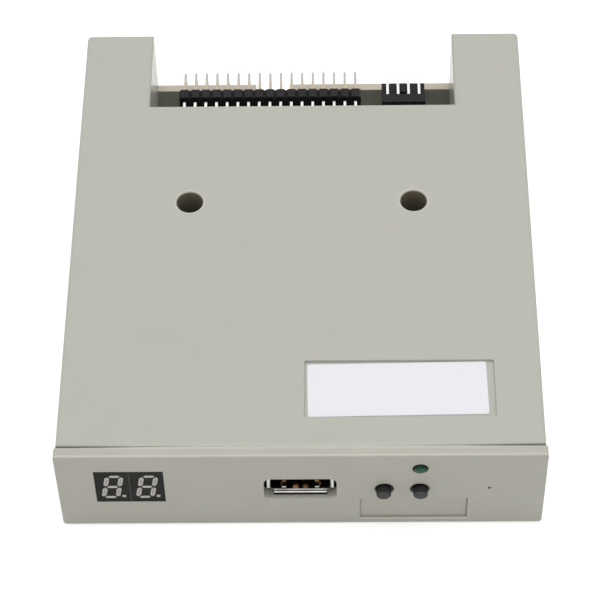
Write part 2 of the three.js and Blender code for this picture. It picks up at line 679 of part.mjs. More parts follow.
function frontBezel() {
  const half = BEZEL_WIDTH / 2;
  const back = BEZEL_THICKNESS;
  const deep = back + BEZEL_EDGE + OVERRUN;
  const face = rectangle(-half, half, 0, BEZEL_HEIGHT, BEZEL_CORNER);
  const plate = roundedExtrude(face, -deep, 0, BEZEL_EDGE).applyMatrix4(WIDTH_HEIGHT_TO_DEPTH);
  let form = cut(solid(plate), box(-half - OVERRUN, half + OVERRUN, back, deep + OVERRUN, -OVERRUN,
    BEZEL_HEIGHT + OVERRUN));
  form = join(form, bezelSkirt());
  for (const [, side] of sides) form = join(form, ...bezelClip(side));

  const through = (shape) => alongY(shape, -OVERRUN, back + OVERRUN);
  const openingHalf = USB_WIDTH / 2 + USB_OPENING_SIDE;
  const openingRise = USB_THICKNESS / 2 + USB_OPENING_RISE;
  const indicatorBreak = box(BUTTON_X - SKIRT_BREAK / 2, BUTTON_X + SKIRT_BREAK / 2, back,
    back + SKIRT_DEPTH + OVERRUN, LED_HEIGHT_AT - SKIRT_BREAK_DROP, BODY_HEIGHT);
  form = cut(form,
    through(rectangle(DISPLAY_X - displayHalf, DISPLAY_X + displayHalf,
      DISPLAY_HEIGHT_AT - displayRise, DISPLAY_HEIGHT_AT + displayRise)),
    through(rectangle(USB_X - openingHalf, USB_X + openingHalf, USB_HEIGHT_AT - openingRise,
      USB_HEIGHT_AT + openingRise, USB_OPENING_CORNER)),
    through(circle(BUTTON_X, LED_HEIGHT_AT, LED_HOLE, 24)),
    ...buttonPlaces.map(([, x]) => through(circle(x, BUTTON_HEIGHT_AT, BUTTON_HOLE, 28))),
    alongY(rectangle(PANEL_LEFT, PANEL_LEFT + PANEL_WIDTH, PANEL_LOW, PANEL_LOW + PANEL_HEIGHT,
      PANEL_CORNER), -OVERRUN, PANEL_DEPTH),
    alongY(circle(DIMPLE_X, DIMPLE_HEIGHT, DIMPLE_DIAMETER, 12), -OVERRUN, DIMPLE_DEPTH),
    indicatorBreak);
  return shaped(form);
}

function bezelSkirt() {
  const half = INNER_HALF - SLIP;
  const low = FLOOR + SLIP;
  const ring = rectangle(-half, half, low, SKIRT_TOP);
  ring.holes.push(rectangle(SKIRT_THICKNESS - half, half - SKIRT_THICKNESS, low + SKIRT_THICKNESS,
    SKIRT_TOP - SKIRT_THICKNESS));
  return alongY(ring, BEZEL_THICKNESS - SEAM_GAP, BEZEL_THICKNESS + SKIRT_DEPTH);
}

// An arm that runs back inside the side wall, with a wedge that springs out into the wall's window.
function bezelClip(side) {
  const outer = INNER_HALF - SLIP;
  const start = BEZEL_THICKNESS - SEAM_GAP;
  const end = BEZEL_THICKNESS + CLIP_DEPTH;
  const plan = (points) => polygon(points.map(([x, y]) => [side * x, y]));
  const inner = outer - SKIRT_THICKNESS;
  const arm = extrude(plan([[inner, start], [outer, start], [outer, end], [inner, end]]), CLIP_LOW, CLIP_TOP);
  const hook = extrude(plan([
    [inner, end - CLIP_HOOK_LENGTH],
    [outer + CLIP_HOOK_REACH, end - CLIP_HOOK_LENGTH],
    [outer + SEAM_GAP, end],
    [inner, end],
  ]), CLIP_LOW, CLIP_TOP);
  return [arm, hook];
}

// Main board

const ribbonLeg = (row) => RIBBON_FRONT - RIBBON_FIRST_LEG - row * PIN_SPACING;
const ribbonX = (i) => RIBBON_FIRST_X + i * PIN_SPACING;
const powerX = (i) => POWER_FIRST_X + i * POWER_PIN_SPACING;
const linkX = (i) => DISPLAY_X + (i - (LINK_PINS - 1) / 2) * PIN_SPACING;
const linkLeg = LINK_FRONT + PIN_SPACING + LINK_LEG;
const powerLeg = POWER_FRONT - POWER_LEG;
const contactShifts = [-USB_CONTACT_OUTER, -USB_CONTACT_INNER, USB_CONTACT_INNER, USB_CONTACT_OUTER];
const contactTail = USB_REAR + USB_CONTACT_TAIL;
const usbLegs = [USB_FRONT + USB_LEG_FIRST, USB_FRONT + USB_LEG_FIRST + USB_LEG_SPACING];
const ledLeg = LED_BODY - LED_PROUD + LED_FLANGE_THICKNESS + LED_LEAD_REACH;
const switchLeg = SWITCH_FRONT + SWITCH_ARM - SWITCH_LEG_WIDTH / 2;
const switchArmX = SWITCH_WIDTH / 2 - SWITCH_SHEET / 2;
const count = (length) => Array.from({ length }, (_, i) => i);

// The pins of an upright block: x and y of each.
function uprightPins(places, rows, x, y) {
  return count(places * rows).map((n) => {
    const place = Math.floor(n / rows) - (places - 1) / 2;
    const row = (n % rows) - (rows - 1) / 2;
    return [x + place * PIN_SPACING, y + row * PIN_SPACING];
  });
}

const selectPins = uprightPins(SELECT_PINS, SELECT_ROWS, SELECT_X, SELECT_DEPTH_AT);
const servicePins = uprightPins(SERVICE_PINS, 1, SERVICE_X, SERVICE_DEPTH_AT);

function boardHoles() {
  const pin = (x, y) => [x, y, PIN_HOLE_DIAMETER, PIN_HOLE_SIDES];
  const usbHalf = USB_WIDTH / 2 - USB_SHEET / 2;
  return [
    ...wellPlaces().map((x) => [x, WELL_DEPTH_AT, BOARD_SCREW_HOLE, 16]),
    ...postPlaces.map(([x, y]) => [x, y, PEG_DIAMETER + 2 * HOLE_GAP, 8]),
    ...count(RIBBON_PINS).flatMap((i) => [0, 1].map((row) => pin(ribbonX(i), ribbonLeg(row)))),
    ...count(POWER_PINS).map((i) => pin(powerX(i), powerLeg)),
    ...count(LINK_PINS).map((i) => pin(linkX(i), linkLeg)),
    ...contactShifts.map((shift) => [USB_X + shift, contactTail - USB_CONTACT_SHEET / 2,
      USB_CONTACT_HOLE, 8]),
    ...usbLegs.flatMap((y) => [-usbHalf, usbHalf].map((shift) => [USB_X + shift, y, USB_LEG_HOLE, 8])),
    ...switchPlaces.flatMap(([, x]) => [-switchArmX, switchArmX].map((shift) => [x + shift, switchLeg,
      SWITCH_LEG_HOLE, 8])),
    ...sides.map(([, side]) => [BUTTON_X + (side * LED_LEAD_SPACING) / 2, ledLeg, LED_LEAD_HOLE, 8]),
  ];
}

function mainBoard() {
  const tab = NOTCH_HALF - BOARD_GAP;
  const cutRight = DISPLAY_X + DISPLAY_CUT_HALF;
  const outline = polygon([
    [-BOARD_HALF, DISPLAY_CUT_REAR],
    [cutRight, DISPLAY_CUT_REAR],
    [cutRight, BOARD_FRONT],
    [BOARD_HALF, BOARD_FRONT],
    [BOARD_HALF, BOARD_SHOULDER],
    [tab, BOARD_SHOULDER],
    [tab, BOARD_REAR],
    [-tab, BOARD_REAR],
    [-tab, BOARD_SHOULDER],
    [-BOARD_HALF, BOARD_SHOULDER],
  ]);
  for (const [x, y, diameter, corners] of boardHoles()) {
    outline.holes.push(circle(x, y, diameter, corners));
  }
  return extrude(outline, BOARD_LOW, BOARD_TOP);
}

// Pin headers

// A bent pin of square wire, drawn from its tip to the leg that goes down through the board.
function bentPin(tip, leg, height) {
  const half = PIN_WIDTH / 2;
  const point = PIN_TIP_WIDTH / 2;
  const toTip = Math.sign(tip - leg);
  return polygon([
    [tip, height - point],
    [tip, height + point],
    [tip - toTip * PIN_WIDTH, height + half],
    [leg, height + half],
    [leg - toTip * half, height],
    [leg - toTip * half, tailLow],
    [leg + toTip * half, tailLow],
    [leg + toTip * half, height - half],
    [tip - toTip * PIN_WIDTH, height - half],
  ]);
}

const tailLow = BOARD_LOW - SOLDER_TAIL;

function ribbonHeader() {
  const rear = RIBBON_FRONT + PIN_SPACING;
  const strip = nickedStrip(RIBBON_FIRST_X - PIN_SPACING / 2, RIBBON_PINS, HEADER_LOW,
    HEADER_LOW + 2 * PIN_SPACING);
  let form = solid(alongY(strip, RIBBON_FRONT, rear));
  for (const row of [0, 1]) {
    const height = HEADER_LOW + (row + 1 / 2) * PIN_SPACING;
    const outline = bentPin(rear + RIBBON_PIN_LENGTH, ribbonLeg(row), height);
    for (const i of count(RIBBON_PINS)) {
      form = join(form, alongX(outline, ribbonX(i) - PIN_WIDTH / 2, ribbonX(i) + PIN_WIDTH / 2));
    }
  }
  return shaped(form);
}

function linkHeader() {
  const strip = nickedStrip(linkX(0) - PIN_SPACING / 2, LINK_PINS, BOARD_TOP, BOARD_TOP + PIN_SPACING);
  const outline = bentPin(DIGIT_BACK + SEAM_GAP, linkLeg, linkHeight);
  let form = solid(alongY(strip, LINK_FRONT, LINK_FRONT + PIN_SPACING));
  for (const i of count(LINK_PINS)) {
    form = join(form, alongX(outline, linkX(i) - PIN_WIDTH / 2, linkX(i) + PIN_WIDTH / 2));
  }
  return shaped(form);
}

// An upright block of one or two rows, soldered to the board's face, its pins standing above it.
function uprightHeader(places, rows, x, y, pins) {
  const half = (rows * PIN_SPACING) / 2;
  const strip = nickedStrip(x - (places * PIN_SPACING) / 2, places, y - half, y + half);
  let form = solid(extrude(strip, BOARD_TOP, BOARD_TOP + PIN_SPACING));
  const thin = PIN_WIDTH / 2;
  for (const [pinX, pinY] of pins) {
    form = join(form, box(pinX - thin, pinX + thin, pinY - thin, pinY + thin,
      BOARD_TOP + PIN_SPACING / 2, BOARD_TOP + POST_PIN_HEIGHT));
  }
  return shaped(form);
}

// A cap that bridges the two pins of one place of the select block.
function jumperCap() {
  const first = SELECT_ROWS * JUMPER_PLACE;
  const pair = selectPins.slice(first, first + SELECT_ROWS);
  const low = BOARD_TOP + PIN_SPACING;
  const x = pair[0][0];
  const wide = PIN_SPACING / 2 - SEAM_GAP;
  const gap = PIN_WIDTH / 2 + HOLE_GAP / 2;
  const shell = box(x - wide, x + wide, SELECT_DEPTH_AT - PIN_SPACING, SELECT_DEPTH_AT + PIN_SPACING, low,
    BOARD_TOP + POST_PIN_HEIGHT + JUMPER_ROOF);
  const pockets = pair.map(([pinX, pinY]) => box(pinX - gap, pinX + gap, pinY - gap, pinY + gap,
    low - OVERRUN, BOARD_TOP + POST_PIN_HEIGHT + HOLE_GAP));
  return shaped(cut(solid(shell), ...pockets));
}

// Power plug: an upright wall with a shelf under four pins, side guides and a key rib
const powerHeight = BOARD_TOP + POWER_PIN_HEIGHT;
const powerWallRear = POWER_FRONT + POWER_WALL;
const powerShelfRear = powerWallRear + POWER_SHELF_LENGTH;

function powerHeader() {
  const half = POWER_WIDTH / 2;
  const shelf = BOARD_TOP + POWER_SHELF;
  const profile = polygon([
    [POWER_FRONT, BOARD_TOP],
    [powerShelfRear, BOARD_TOP],
    [powerShelfRear, shelf],
    [powerWallRear, shelf],
    [powerWallRear, BOARD_TOP + POWER_HEIGHT],
    [POWER_FRONT, BOARD_TOP + POWER_HEIGHT],
  ]);
  let form = solid(alongX(profile, POWER_X - half, POWER_X + half));
  const root = powerWallRear - SEAM_GAP;
  const ribRear = powerShelfRear - POWER_RIB_SETBACK;
  for (const [, side] of sides) {
    const outer = side * half;
    const inner = side * (half - POWER_GUIDE_WIDTH);
    form = join(form, box(POWER_X + Math.min(outer, inner), POWER_X + Math.max(outer, inner), root,
      ribRear, shelf - SEAM_GAP, shelf + POWER_GUIDE_HEIGHT));
  }
  const key = POWER_KEY_WIDTH / 2;
  form = join(form, box(POWER_X - key, POWER_X + key, powerWallRear + POWER_KEY_SETBACK, ribRear,
    shelf - SEAM_GAP, shelf + POWER_KEY_HEIGHT));
  const gap = PIN_WIDTH / 2 + SEAM_GAP;
  for (const i of count(POWER_PINS)) {
    form = cut(form, box(powerX(i) - gap, powerX(i) + gap, POWER_FRONT - OVERRUN, powerWallRear + OVERRUN,
      powerHeight - gap, powerHeight + gap));
  }
  return shaped(form);
}

function powerPin(i) {
  const outline = bentPin(powerWallRear + POWER_PIN_LENGTH, powerLeg, powerHeight);
  return alongX(outline, powerX(i) - PIN_WIDTH / 2, powerX(i) + PIN_WIDTH / 2);
}

// USB socket: a sheet shell with flared lips, an insulator with its tongue, and four contacts

const usbHalf = USB_WIDTH / 2;
const usbRise = USB_THICKNESS / 2;
const tongueLow = USB_HEIGHT_AT + USB_TONGUE_RISE;
const tongueFront = USB_FRONT + USB_TONGUE_SETBACK;

function usbShell() {
  const tube = rectangle(USB_X - usbHalf, USB_X + usbHalf, USB_HEIGHT_AT - usbRise,
    USB_HEIGHT_AT + usbRise, USB_CORNER);
  tube.holes.push(rectangle(USB_X - usbHalf + USB_SHEET, USB_X + usbHalf - USB_SHEET,
    USB_HEIGHT_AT - usbRise + USB_SHEET, USB_HEIGHT_AT + usbRise - USB_SHEET, USB_CORNER - USB_SHEET));
  let form = solid(alongY(tube, USB_TUBE_FRONT, USB_REAR));
  const root = USB_TUBE_FRONT + USB_SHEET;
  for (const up of [-1, 1]) {
    const inner = USB_HEIGHT_AT + up * (usbRise - USB_SHEET);
    const outer = USB_HEIGHT_AT + up * usbRise;
    const lip = polygon([[root, inner], [root, outer], [USB_FRONT, outer + up * USB_FLARE],
      [USB_FRONT, inner + up * USB_FLARE]]);
    form = join(form, alongX(lip, USB_X - usbHalf + USB_LIP_CUT, USB_X + usbHalf - USB_LIP_CUT));
  }
  for (const [, side] of sides) {
    const inner = USB_X + side * (usbHalf - USB_SHEET);
    const outer = USB_X + side * usbHalf;
    const lip = polygon([[inner, root], [outer, root], [outer + side * USB_SIDE_FLARE, USB_FRONT],
      [inner + side * USB_SIDE_FLARE, USB_FRONT]]);
    form = join(form, extrude(lip, USB_HEIGHT_AT - USB_SIDE_LIP / 2, USB_HEIGHT_AT + USB_SIDE_LIP / 2));
    for (const y of usbLegs) {
      form = join(form, box(Math.min(inner, outer), Math.max(inner, outer), y - USB_LEG_WIDTH / 2,
        y + USB_LEG_WIDTH / 2, tailLow, USB_HEIGHT_AT));
    }
    const spring = USB_X + side * USB_SPRING_X;
    const springFront = USB_TUBE_FRONT + USB_SPRING_SETBACK;
    form = cut(form, box(spring - USB_SPRING_WIDTH / 2, spring + USB_SPRING_WIDTH / 2, springFront,
      springFront + USB_SPRING_LENGTH, USB_HEIGHT_AT - USB_THICKNESS, USB_HEIGHT_AT + USB_THICKNESS));
  }
  return shaped(form);
}

function usbTongue() {
  const inset = USB_SHEET + USB_BLOCK_GAP;
  const block = rectangle(USB_X - usbHalf + inset, USB_X + usbHalf - inset,
    USB_HEIGHT_AT - usbRise + inset, USB_HEIGHT_AT + usbRise - inset, USB_CORNER - USB_SHEET);
  const blockFront = USB_REAR - USB_BLOCK_LENGTH;
  const high = tongueLow + USB_TONGUE_THICKNESS;
  const plate = polygon([
    [tongueFront, tongueLow + USB_TONGUE_TAPER / 2],
    [tongueFront + USB_TONGUE_TAPER / 2, tongueLow],
    [blockFront + SEAM_GAP, tongueLow],
    [blockFront + SEAM_GAP, high],
    [tongueFront + USB_TONGUE_TAPER, high],
    [tongueFront, high - USB_TONGUE_TAPER],
  ]);
  let form = solid(alongY(block, blockFront, USB_REAR - USB_SHEET));
  form = join(form, alongX(plate, USB_X - usbHalf + USB_TONGUE_SIDE, USB_X + usbHalf - USB_TONGUE_SIDE));
  const gap = USB_CONTACT_WIDTH / 2 + USB_BLOCK_GAP;
  for (const shift of contactShifts) {
    const x = USB_X + shift;
    form = cut(form,
      box(x - gap, x + gap, blockFront - OVERRUN, USB_REAR + OVERRUN,
        tongueLow - USB_CONTACT_SHEET - USB_BLOCK_GAP, tongueLow),
      box(x - gap, x + gap, tongueFront - OVERRUN, tongueFront + contactNotch, tongueLow - OVERRUN,
        tongueLow + contactUpturn + USB_BLOCK_GAP));
  }
  return shaped(form);
}

// A contact lies under the tongue, turns up into a notch at the tip and down through the board at the back.
const contactNotch = USB_CONTACT_SETBACK + USB_CONTACT_SHEET + USB_BLOCK_GAP;
const contactUpturn = USB_TONGUE_THICKNESS / 2;

function usbContact(shift) {
  const front = tongueFront + USB_CONTACT_SETBACK;
  const low = tongueLow - USB_CONTACT_SHEET;
  const outline = polygon([
    [front, low],
    [contactTail - USB_CONTACT_SHEET, low],
    [contactTail - USB_CONTACT_SHEET, tailLow],
    [contactTail, tailLow],
    [contactTail, tongueLow],
    [front + USB_CONTACT_SHEET, tongueLow],
    [front + USB_CONTACT_SHEET, tongueLow + contactUpturn],
    [front, tongueLow + contactUpturn],
  ]);
  const left = USB_X + shift - USB_CONTACT_WIDTH / 2;
  return alongX(outline, left, left + USB_CONTACT_WIDTH);
}

// Display: each digit is a black body whose face has seven windows and a dot, filled by pale resin

// The outline of one segment, pointed at both ends and leaning with the digit.
function segment(x, z, length, upright, grow) {
  const half = (upright ? UPRIGHT_WIDTH : BAR_WIDTH) / 2 + grow;
  const reach = length / 2 - SEGMENT_GAP + grow;
  const shoulder = reach - half;
  const corners = [[-reach, 0], [-shoulder, -half], [shoulder, -half], [reach, 0], [shoulder, half],
    [-shoulder, half]];
  return polygon(corners.map(([along, across]) => {
    const width = x + (upright ? across : along);
    const height = z + (upright ? along : across);
    return [width + DIGIT_SLANT_SHARE * height, height - DIGIT_DROP];
  }));
}

function digitShapes(grow) {
  const bars = [-DIGIT_RISE, 0, DIGIT_RISE].map((z) => segment(0, z, 2 * DIGIT_SPREAD, false, grow));
  const uprights = [-1, 1].flatMap((across) => [-1, 1].map((up) => segment(across * DIGIT_SPREAD,
    (up * DIGIT_RISE) / 2, DIGIT_RISE, true, grow)));
  return [...bars, ...uprights, circle(DOT_X, -DIGIT_DROP - DOT_DROP, DOT_DIAMETER + 2 * grow, 16)];
}

const insideHalf = DIGIT_BODY_WIDTH / 2 - DIGIT_SIDE;
const insideRise = DIGIT_BODY_HEIGHT / 2 - DIGIT_SIDE;

function digitHousing() {
  const half = DIGIT_BODY_WIDTH / 2;
  const rise = DIGIT_BODY_HEIGHT / 2;
  const block = box(-half, half, 0, DIGIT_BODY_DEPTH, -rise, rise);
  const inside = box(-insideHalf, insideHalf, DIGIT_FACE, DIGIT_BODY_DEPTH + OVERRUN, -insideRise,
    insideRise);
  const windows = digitShapes(RESIN_GAP).map((shape) => alongY(shape, -OVERRUN, DIGIT_FACE + SEAM_GAP));
  return shaped(cut(solid(block), inside, ...windows));
}

function digitResin() {
  const half = insideHalf - RESIN_GAP;
  const rise = insideRise - RESIN_GAP;
  const front = DIGIT_FACE + RESIN_GAP;
  const block = box(-half, half, front, DIGIT_BODY_DEPTH, -rise, rise);
  return shaped(join(solid(block), ...digitShapes(0).map((shape) => alongY(shape, 0, front + SEAM_GAP))));
}

const linkHeight = BOARD_TOP + PIN_SPACING / 2;

function displayBoard() {
  const half = DISPLAY_BOARD_WIDTH / 2;
  const shape = rectangle(DISPLAY_X - half, DISPLAY_X + half, DISPLAY_BOARD_LOW, DISPLAY_BOARD_TOP);
  for (const i of count(LINK_PINS)) {
    shape.holes.push(circle(linkX(i), linkHeight, PIN_HOLE_DIAMETER, PIN_HOLE_SIDES));
  }
  return alongY(shape, DIGIT_BACK, DISPLAY_BOARD_BACK);
}

// Indicator: a round dome with a flange, on two bent leads
function ledLens() {
  const radius = LED_DIAMETER / 2;
  const flange = LED_FLANGE / 2;
  const steps = 4;
  const dome = count(steps).map((i) => {
    const angle = (i / steps) * (Math.PI / 2);
    return [radius * Math.sin(angle), radius * (1 - Math.cos(angle)) - LED_PROUD];
  });
  const shoulder = LED_BODY - LED_PROUD;
  return turnedAlongY([
    ...dome,
    [radius, radius - LED_PROUD],
    [radius, shoulder],
    [flange, shoulder],
    [flange, shoulder + LED_FLANGE_THICKNESS],
    [0, shoulder + LED_FLANGE_THICKNESS],
  ], 16);
}

function ledLead(side) {
  const half = LED_LEAD / 2;
  const start = LED_BODY - LED_PROUD + LED_FLANGE_THICKNESS;
  const outline = polygon([
    [start, LED_HEIGHT_AT - half],
    [ledLeg - half, LED_HEIGHT_AT - half],
    [ledLeg - half, tailLow],
    [ledLeg + half, tailLow],
    [ledLeg + half, LED_HEIGHT_AT],
    [ledLeg, LED_HEIGHT_AT + half],
    [start, LED_HEIGHT_AT + half],
  ]);
  const x = BUTTON_X + (side * LED_LEAD_SPACING) / 2;
  return alongX(outline, x - half, x + half);
}

// Buttons: a plunger with a collar, held between a sheet frame and the switch body behind it

const switchBodyFront = SWITCH_FRONT + SWITCH_SHEET;
const pocketBack = switchBodyFront + SWITCH_POCKET_DEPTH;

function plunger() {
  const radius = BUTTON_DIAMETER / 2;
  const collar = BUTTON_COLLAR / 2;
  const collarFront = switchBodyFront + SEAM_GAP;
  const collarBack = collarFront + BUTTON_COLLAR_THICKNESS;
  const end = pocketBack - BUTTON_TRAVEL - BUTTON_SPARE;
  return turnedAlongY([
    [0, -BUTTON_PROUD],
    [radius - BUTTON_EDGE, -BUTTON_PROUD],
    [radius, BUTTON_EDGE - BUTTON_PROUD],
    [radius, collarFront],
    [collar, collarFront],
    [collar, collarBack],
    [radius, collarBack],
    [radius, end],
    [0, end],
  ], 20);
}

function switchBody() {
  const half = SWITCH_WIDTH / 2 - SWITCH_SHEET;
  const block = box(-half, half, switchBodyFront, switchBodyFront + SWITCH_BODY_DEPTH, BOARD_TOP, SWITCH_TOP);
  const pocket = alongY(circle(0, BUTTON_HEIGHT_AT, SWITCH_POCKET), switchBodyFront - OVERRUN, pocketBack);
  return shaped(cut(solid(block), pocket));
}

function switchFrame() {
  const half = SWITCH_WIDTH / 2;
  const face = rectangle(-half, half, BOARD_TOP + SLIP, SWITCH_TOP);
  face.holes.push(circle(0, BUTTON_HEIGHT_AT, SWITCH_BORE));
  let form = solid(alongY(face, SWITCH_FRONT, switchBodyFront));
  const rear = SWITCH_FRONT + SWITCH_ARM;
  for (const [, side] of sides) {
    const left = Math.min(side * half, side * (half - SWITCH_SHEET));
    const right = left + SWITCH_SHEET;
    form = join(form,
      box(left, right, SWITCH_FRONT, rear, BOARD_TOP + SLIP, SWITCH_TOP),
      box(left, right, rear - SWITCH_LEG_WIDTH, rear, tailLow, BOARD_TOP + SWITCH_SHEET));
  }
  return shaped(form);
}

// Chips and other parts of the board, each built round its own middle, standing at height zero

// A lead that slopes down from half the body's height and ends in a flat foot.
function gullWing(edge, thickness, width) {
  const middle = CHIP_STANDOFF + thickness / 2;
  const sheet = LEAD_THICKNESS / 2;
  const heel = edge + LEAD_REACH - LEAD_FOOT;
  return alongX(polygon([
    [edge - LEAD_FOOT, middle - sheet],
    [heel, 0],
    [edge + LEAD_REACH, 0],
    [edge + LEAD_REACH, LEAD_THICKNESS],
    [heel + sheet, LEAD_THICKNESS],
    [edge - LEAD_FOOT, middle + sheet],
  ]), -width / 2, width / 2);
}

const HALF_TURN = new THREE.Matrix4().makeScale(-1, -1, 1);

function chipBody(length, width, thickness) {
  const shape = rectangle(-length / 2, length / 2, -width / 2, width / 2);
  return extrude(shape, CHIP_STANDOFF + LEAD_THICKNESS, CHIP_STANDOFF + thickness - LEAD_THICKNESS, {
    bevelEnabled: true,
    bevelThickness: LEAD_THICKNESS,
    bevelSize: LEAD_THICKNESS,
    bevelOffset: -LEAD_THICKNESS,
    bevelSegments: 1,
  });
}

function leadRow(edge, thickness, leads, pitch, width) {
  const place = (i) => (i - (leads - 1) / 2) * pitch;
  return count(leads).map((i) => gullWing(edge, thickness, width).translate(place(i), 0, 0));
}

function twoSidedChip(length, width, thickness, leads, pitch, leadWidth) {
  const row = leadRow(width / 2, thickness, leads, pitch, leadWidth);
  const other = row.map((lead) => lead.clone().applyMatrix4(HALF_TURN));
  return shaped(join(solid(chipBody(length, width, thickness)), ...row, ...other));
}

// A flat package without leads, with a small dimple over its first contact.
function processor() {
  const corner = PROCESSOR_DIMPLE_INSET - PROCESSOR_SIZE / 2;
  const top = CHIP_STANDOFF + PROCESSOR_THICKNESS;
  const dimple = circle(corner, -corner, PROCESSOR_DIMPLE, 10);
  return shaped(cut(solid(chipBody(PROCESSOR_SIZE, PROCESSOR_SIZE, PROCESSOR_THICKNESS)),
    extrude(dimple, top - LEAD_THICKNESS, top + OVERRUN)));
}

function regulator() {
  const half = REGULATOR_WIDTH / 2;
  const row = leadRow(half, REGULATOR_THICKNESS, REGULATOR_LEADS, REGULATOR_LEAD_SPACING, REGULATOR_LEAD);
  const tab = gullWing(half, REGULATOR_THICKNESS, REGULATOR_TAB).applyMatrix4(HALF_TURN);
  return shaped(join(solid(chipBody(REGULATOR_LENGTH, REGULATOR_WIDTH, REGULATOR_THICKNESS)), ...row, tab));
}

function crystalCan() {
  const half = CRYSTAL_LENGTH / 2;
  const rise = CRYSTAL_WIDTH / 2;
  const can = rectangle(CRYSTAL_RIM - half, half - CRYSTAL_RIM, CRYSTAL_RIM - rise, rise - CRYSTAL_RIM,
    rise - 2 * CRYSTAL_RIM);
  const rim = rectangle(-half, half, -rise, rise, rise - CRYSTAL_RIM);
  const body = solid(roundedExtrude(can, 0, CRYSTAL_HEIGHT, CRYSTAL_RIM));
  return shaped(join(body, extrude(rim, 0, CRYSTAL_RIM)));
}

function capacitorCan() {
  const radius = CAPACITOR_DIAMETER / 2;
  const waist = radius - CAPACITOR_WAIST;
  return turnedAlongZ([
    [0, 0],
    [radius, 0],
    [radius, CAPACITOR_WAIST_HEIGHT - CAPACITOR_WAIST],
    [waist, CAPACITOR_WAIST_HEIGHT],
    [radius, CAPACITOR_WAIST_HEIGHT + CAPACITOR_WAIST],
    [radius, CAPACITOR_HEIGHT - CAPACITOR_EDGE],
    [radius - CAPACITOR_EDGE, CAPACITOR_HEIGHT],
    [0, CAPACITOR_HEIGHT],
  ], 16);
}

// Assembly

add('top_cover', topCover(), HOUSING_PLASTIC);
add('base_tray', baseTray(), HOUSING_PLASTIC);
add('front_bezel', frontBezel(), BEZEL_PLASTIC);

const label = add('cover_label', labelSheet(), PAPER);
label.position.set(RECESS_LEFT + RECESS_WIDTH / 2 + LABEL_SHIFT_X,
  RECESS_FRONT + RECESS_LENGTH / 2 + LABEL_SHIFT_Y, BODY_HEIGHT - RECESS_DEPTH);
label.rotation.z = LABEL_TURN;

sides.forEach(([name], i) => {
  add(`case_screw_${name}`, caseScrew(), STEEL).position.set(wellPlaces()[i], WELL_DEPTH_AT, SCREW_SEAT);
});

add('main_board', mainBoard(), BOARD_GREEN);
add('ribbon_header', ribbonHeader(), BLACK_PLASTIC);
add('power_header', powerHeader(), BLACK_PLASTIC);
for (const i of count(POWER_PINS)) add(`power_pin_${i + 1}`, powerPin(i), TINNED);

add('usb_shell', usbShell(), STEEL);
add('usb_tongue', usbTongue(), BLACK_PLASTIC);
contactShifts.forEach((shift, i) => add(`usb_contact_${i + 1}`, usbContact(shift), GILT));

for (const [name, side] of sides) {
  const digit = new THREE.Group();
  digit.position.set(DISPLAY_X + (side * (DIGIT_BODY_WIDTH + SEAM_GAP)) / 2, DIGIT_FRONT, DISPLAY_HEIGHT_AT);
  add(`digit_housing_${name}`, digitHousing(), BLACK_PLASTIC, digit);
  add(`digit_resin_${name}`, digitResin(), SEGMENT_RESIN, digit);
  drive.add(digit);
}
add('display_board', displayBoard(), BOARD_GREEN);
add('display_link', linkHeader(), BLACK_PLASTIC);
const driver = add('display_driver', twoSidedChip(DRIVER_LENGTH, DRIVER_WIDTH, DRIVER_THICKNESS, DRIVER_LEADS,
  LOGIC_LEAD_SPACING, LOGIC_LEAD), BLACK_PLASTIC);
driver.rotation.x = -Math.PI / 2;
driver.position.set(DISPLAY_X, DISPLAY_BOARD_BACK,
  DISPLAY_BOARD_TOP - DRIVER_GAP - LEAD_REACH - DRIVER_WIDTH / 2);

add('led_lens', ledLens(), LED_GREEN).position.set(BUTTON_X, 0, LED_HEIGHT_AT);
for (const [name, side] of sides) add(`led_lead_${name}`, ledLead(side), TINNED);

for (const [name, x] of switchPlaces) {
  add(`button_${name}`, plunger(), BLACK_PLASTIC).position.set(x, 0, BUTTON_HEIGHT_AT);
  add(`switch_body_${name}`, switchBody(), BLACK_PLASTIC).position.x = x;
  add(`switch_frame_${name}`, switchFrame(), STEEL).position.x = x;
}

add('processor', processor(), BLACK_PLASTIC)
  .position.set(PROCESSOR_X, depthOnBoard(PROCESSOR_SHARE), BOARD_TOP);
add('crystal', crystalCan(), CAN_METAL).position.set(CRYSTAL_X, depthOnBoard(CRYSTAL_SHARE), BOARD_TOP);
add('regulator', regulator(), BLACK_PLASTIC)
  .position.set(REGULATOR_X, depthOnBoard(REGULATOR_SHARE), BOARD_TOP);
for (const i of [0, 1]) {
  add(`capacitor_${i + 1}`, capacitorCan(), CAN_METAL)
    .position.set(CAPACITOR_X, depthOnBoard(CAPACITOR_SHARES[i]), BOARD_TOP);
  const chip = twoSidedChip(LOGIC_LENGTH, LOGIC_WIDTH, LOGIC_THICKNESS, LOGIC_LEADS, LOGIC_LEAD_SPACING,
    LOGIC_LEAD);
  add(`logic_chip_${i + 1}`, chip, BLACK_PLASTIC)
    .position.set(LOGIC_X + (i - 1 / 2) * LOGIC_SPACING, depthOnBoard(LOGIC_SHARE), BOARD_TOP);
}
add('select_header', uprightHeader(SELECT_PINS, SELECT_ROWS, SELECT_X, SELECT_DEPTH_AT, selectPins),
  BLACK_PLASTIC);
add('jumper_cap', jumperCap(), BLACK_PLASTIC);
add('service_header', uprightHeader(SERVICE_PINS, 1, SERVICE_X, SERVICE_DEPTH_AT, servicePins),
  BLACK_PLASTIC);

drive.position.y = -(LENGTH - BUTTON_PROUD) / 2;

export default drive;
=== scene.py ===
"""Looks of a 3.5 inch drive that takes a memory stick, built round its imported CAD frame.

X runs right as seen from the front, depths run back from the bezel's front face, and heights run up from
the underside. They are millimetres until place(), at_depth() or MM turns them into the frame's metres.
The studio and the camera's clip distances are given in metres.
"""

import math

import bmesh
import bpy
from mathutils import Matrix, Vector


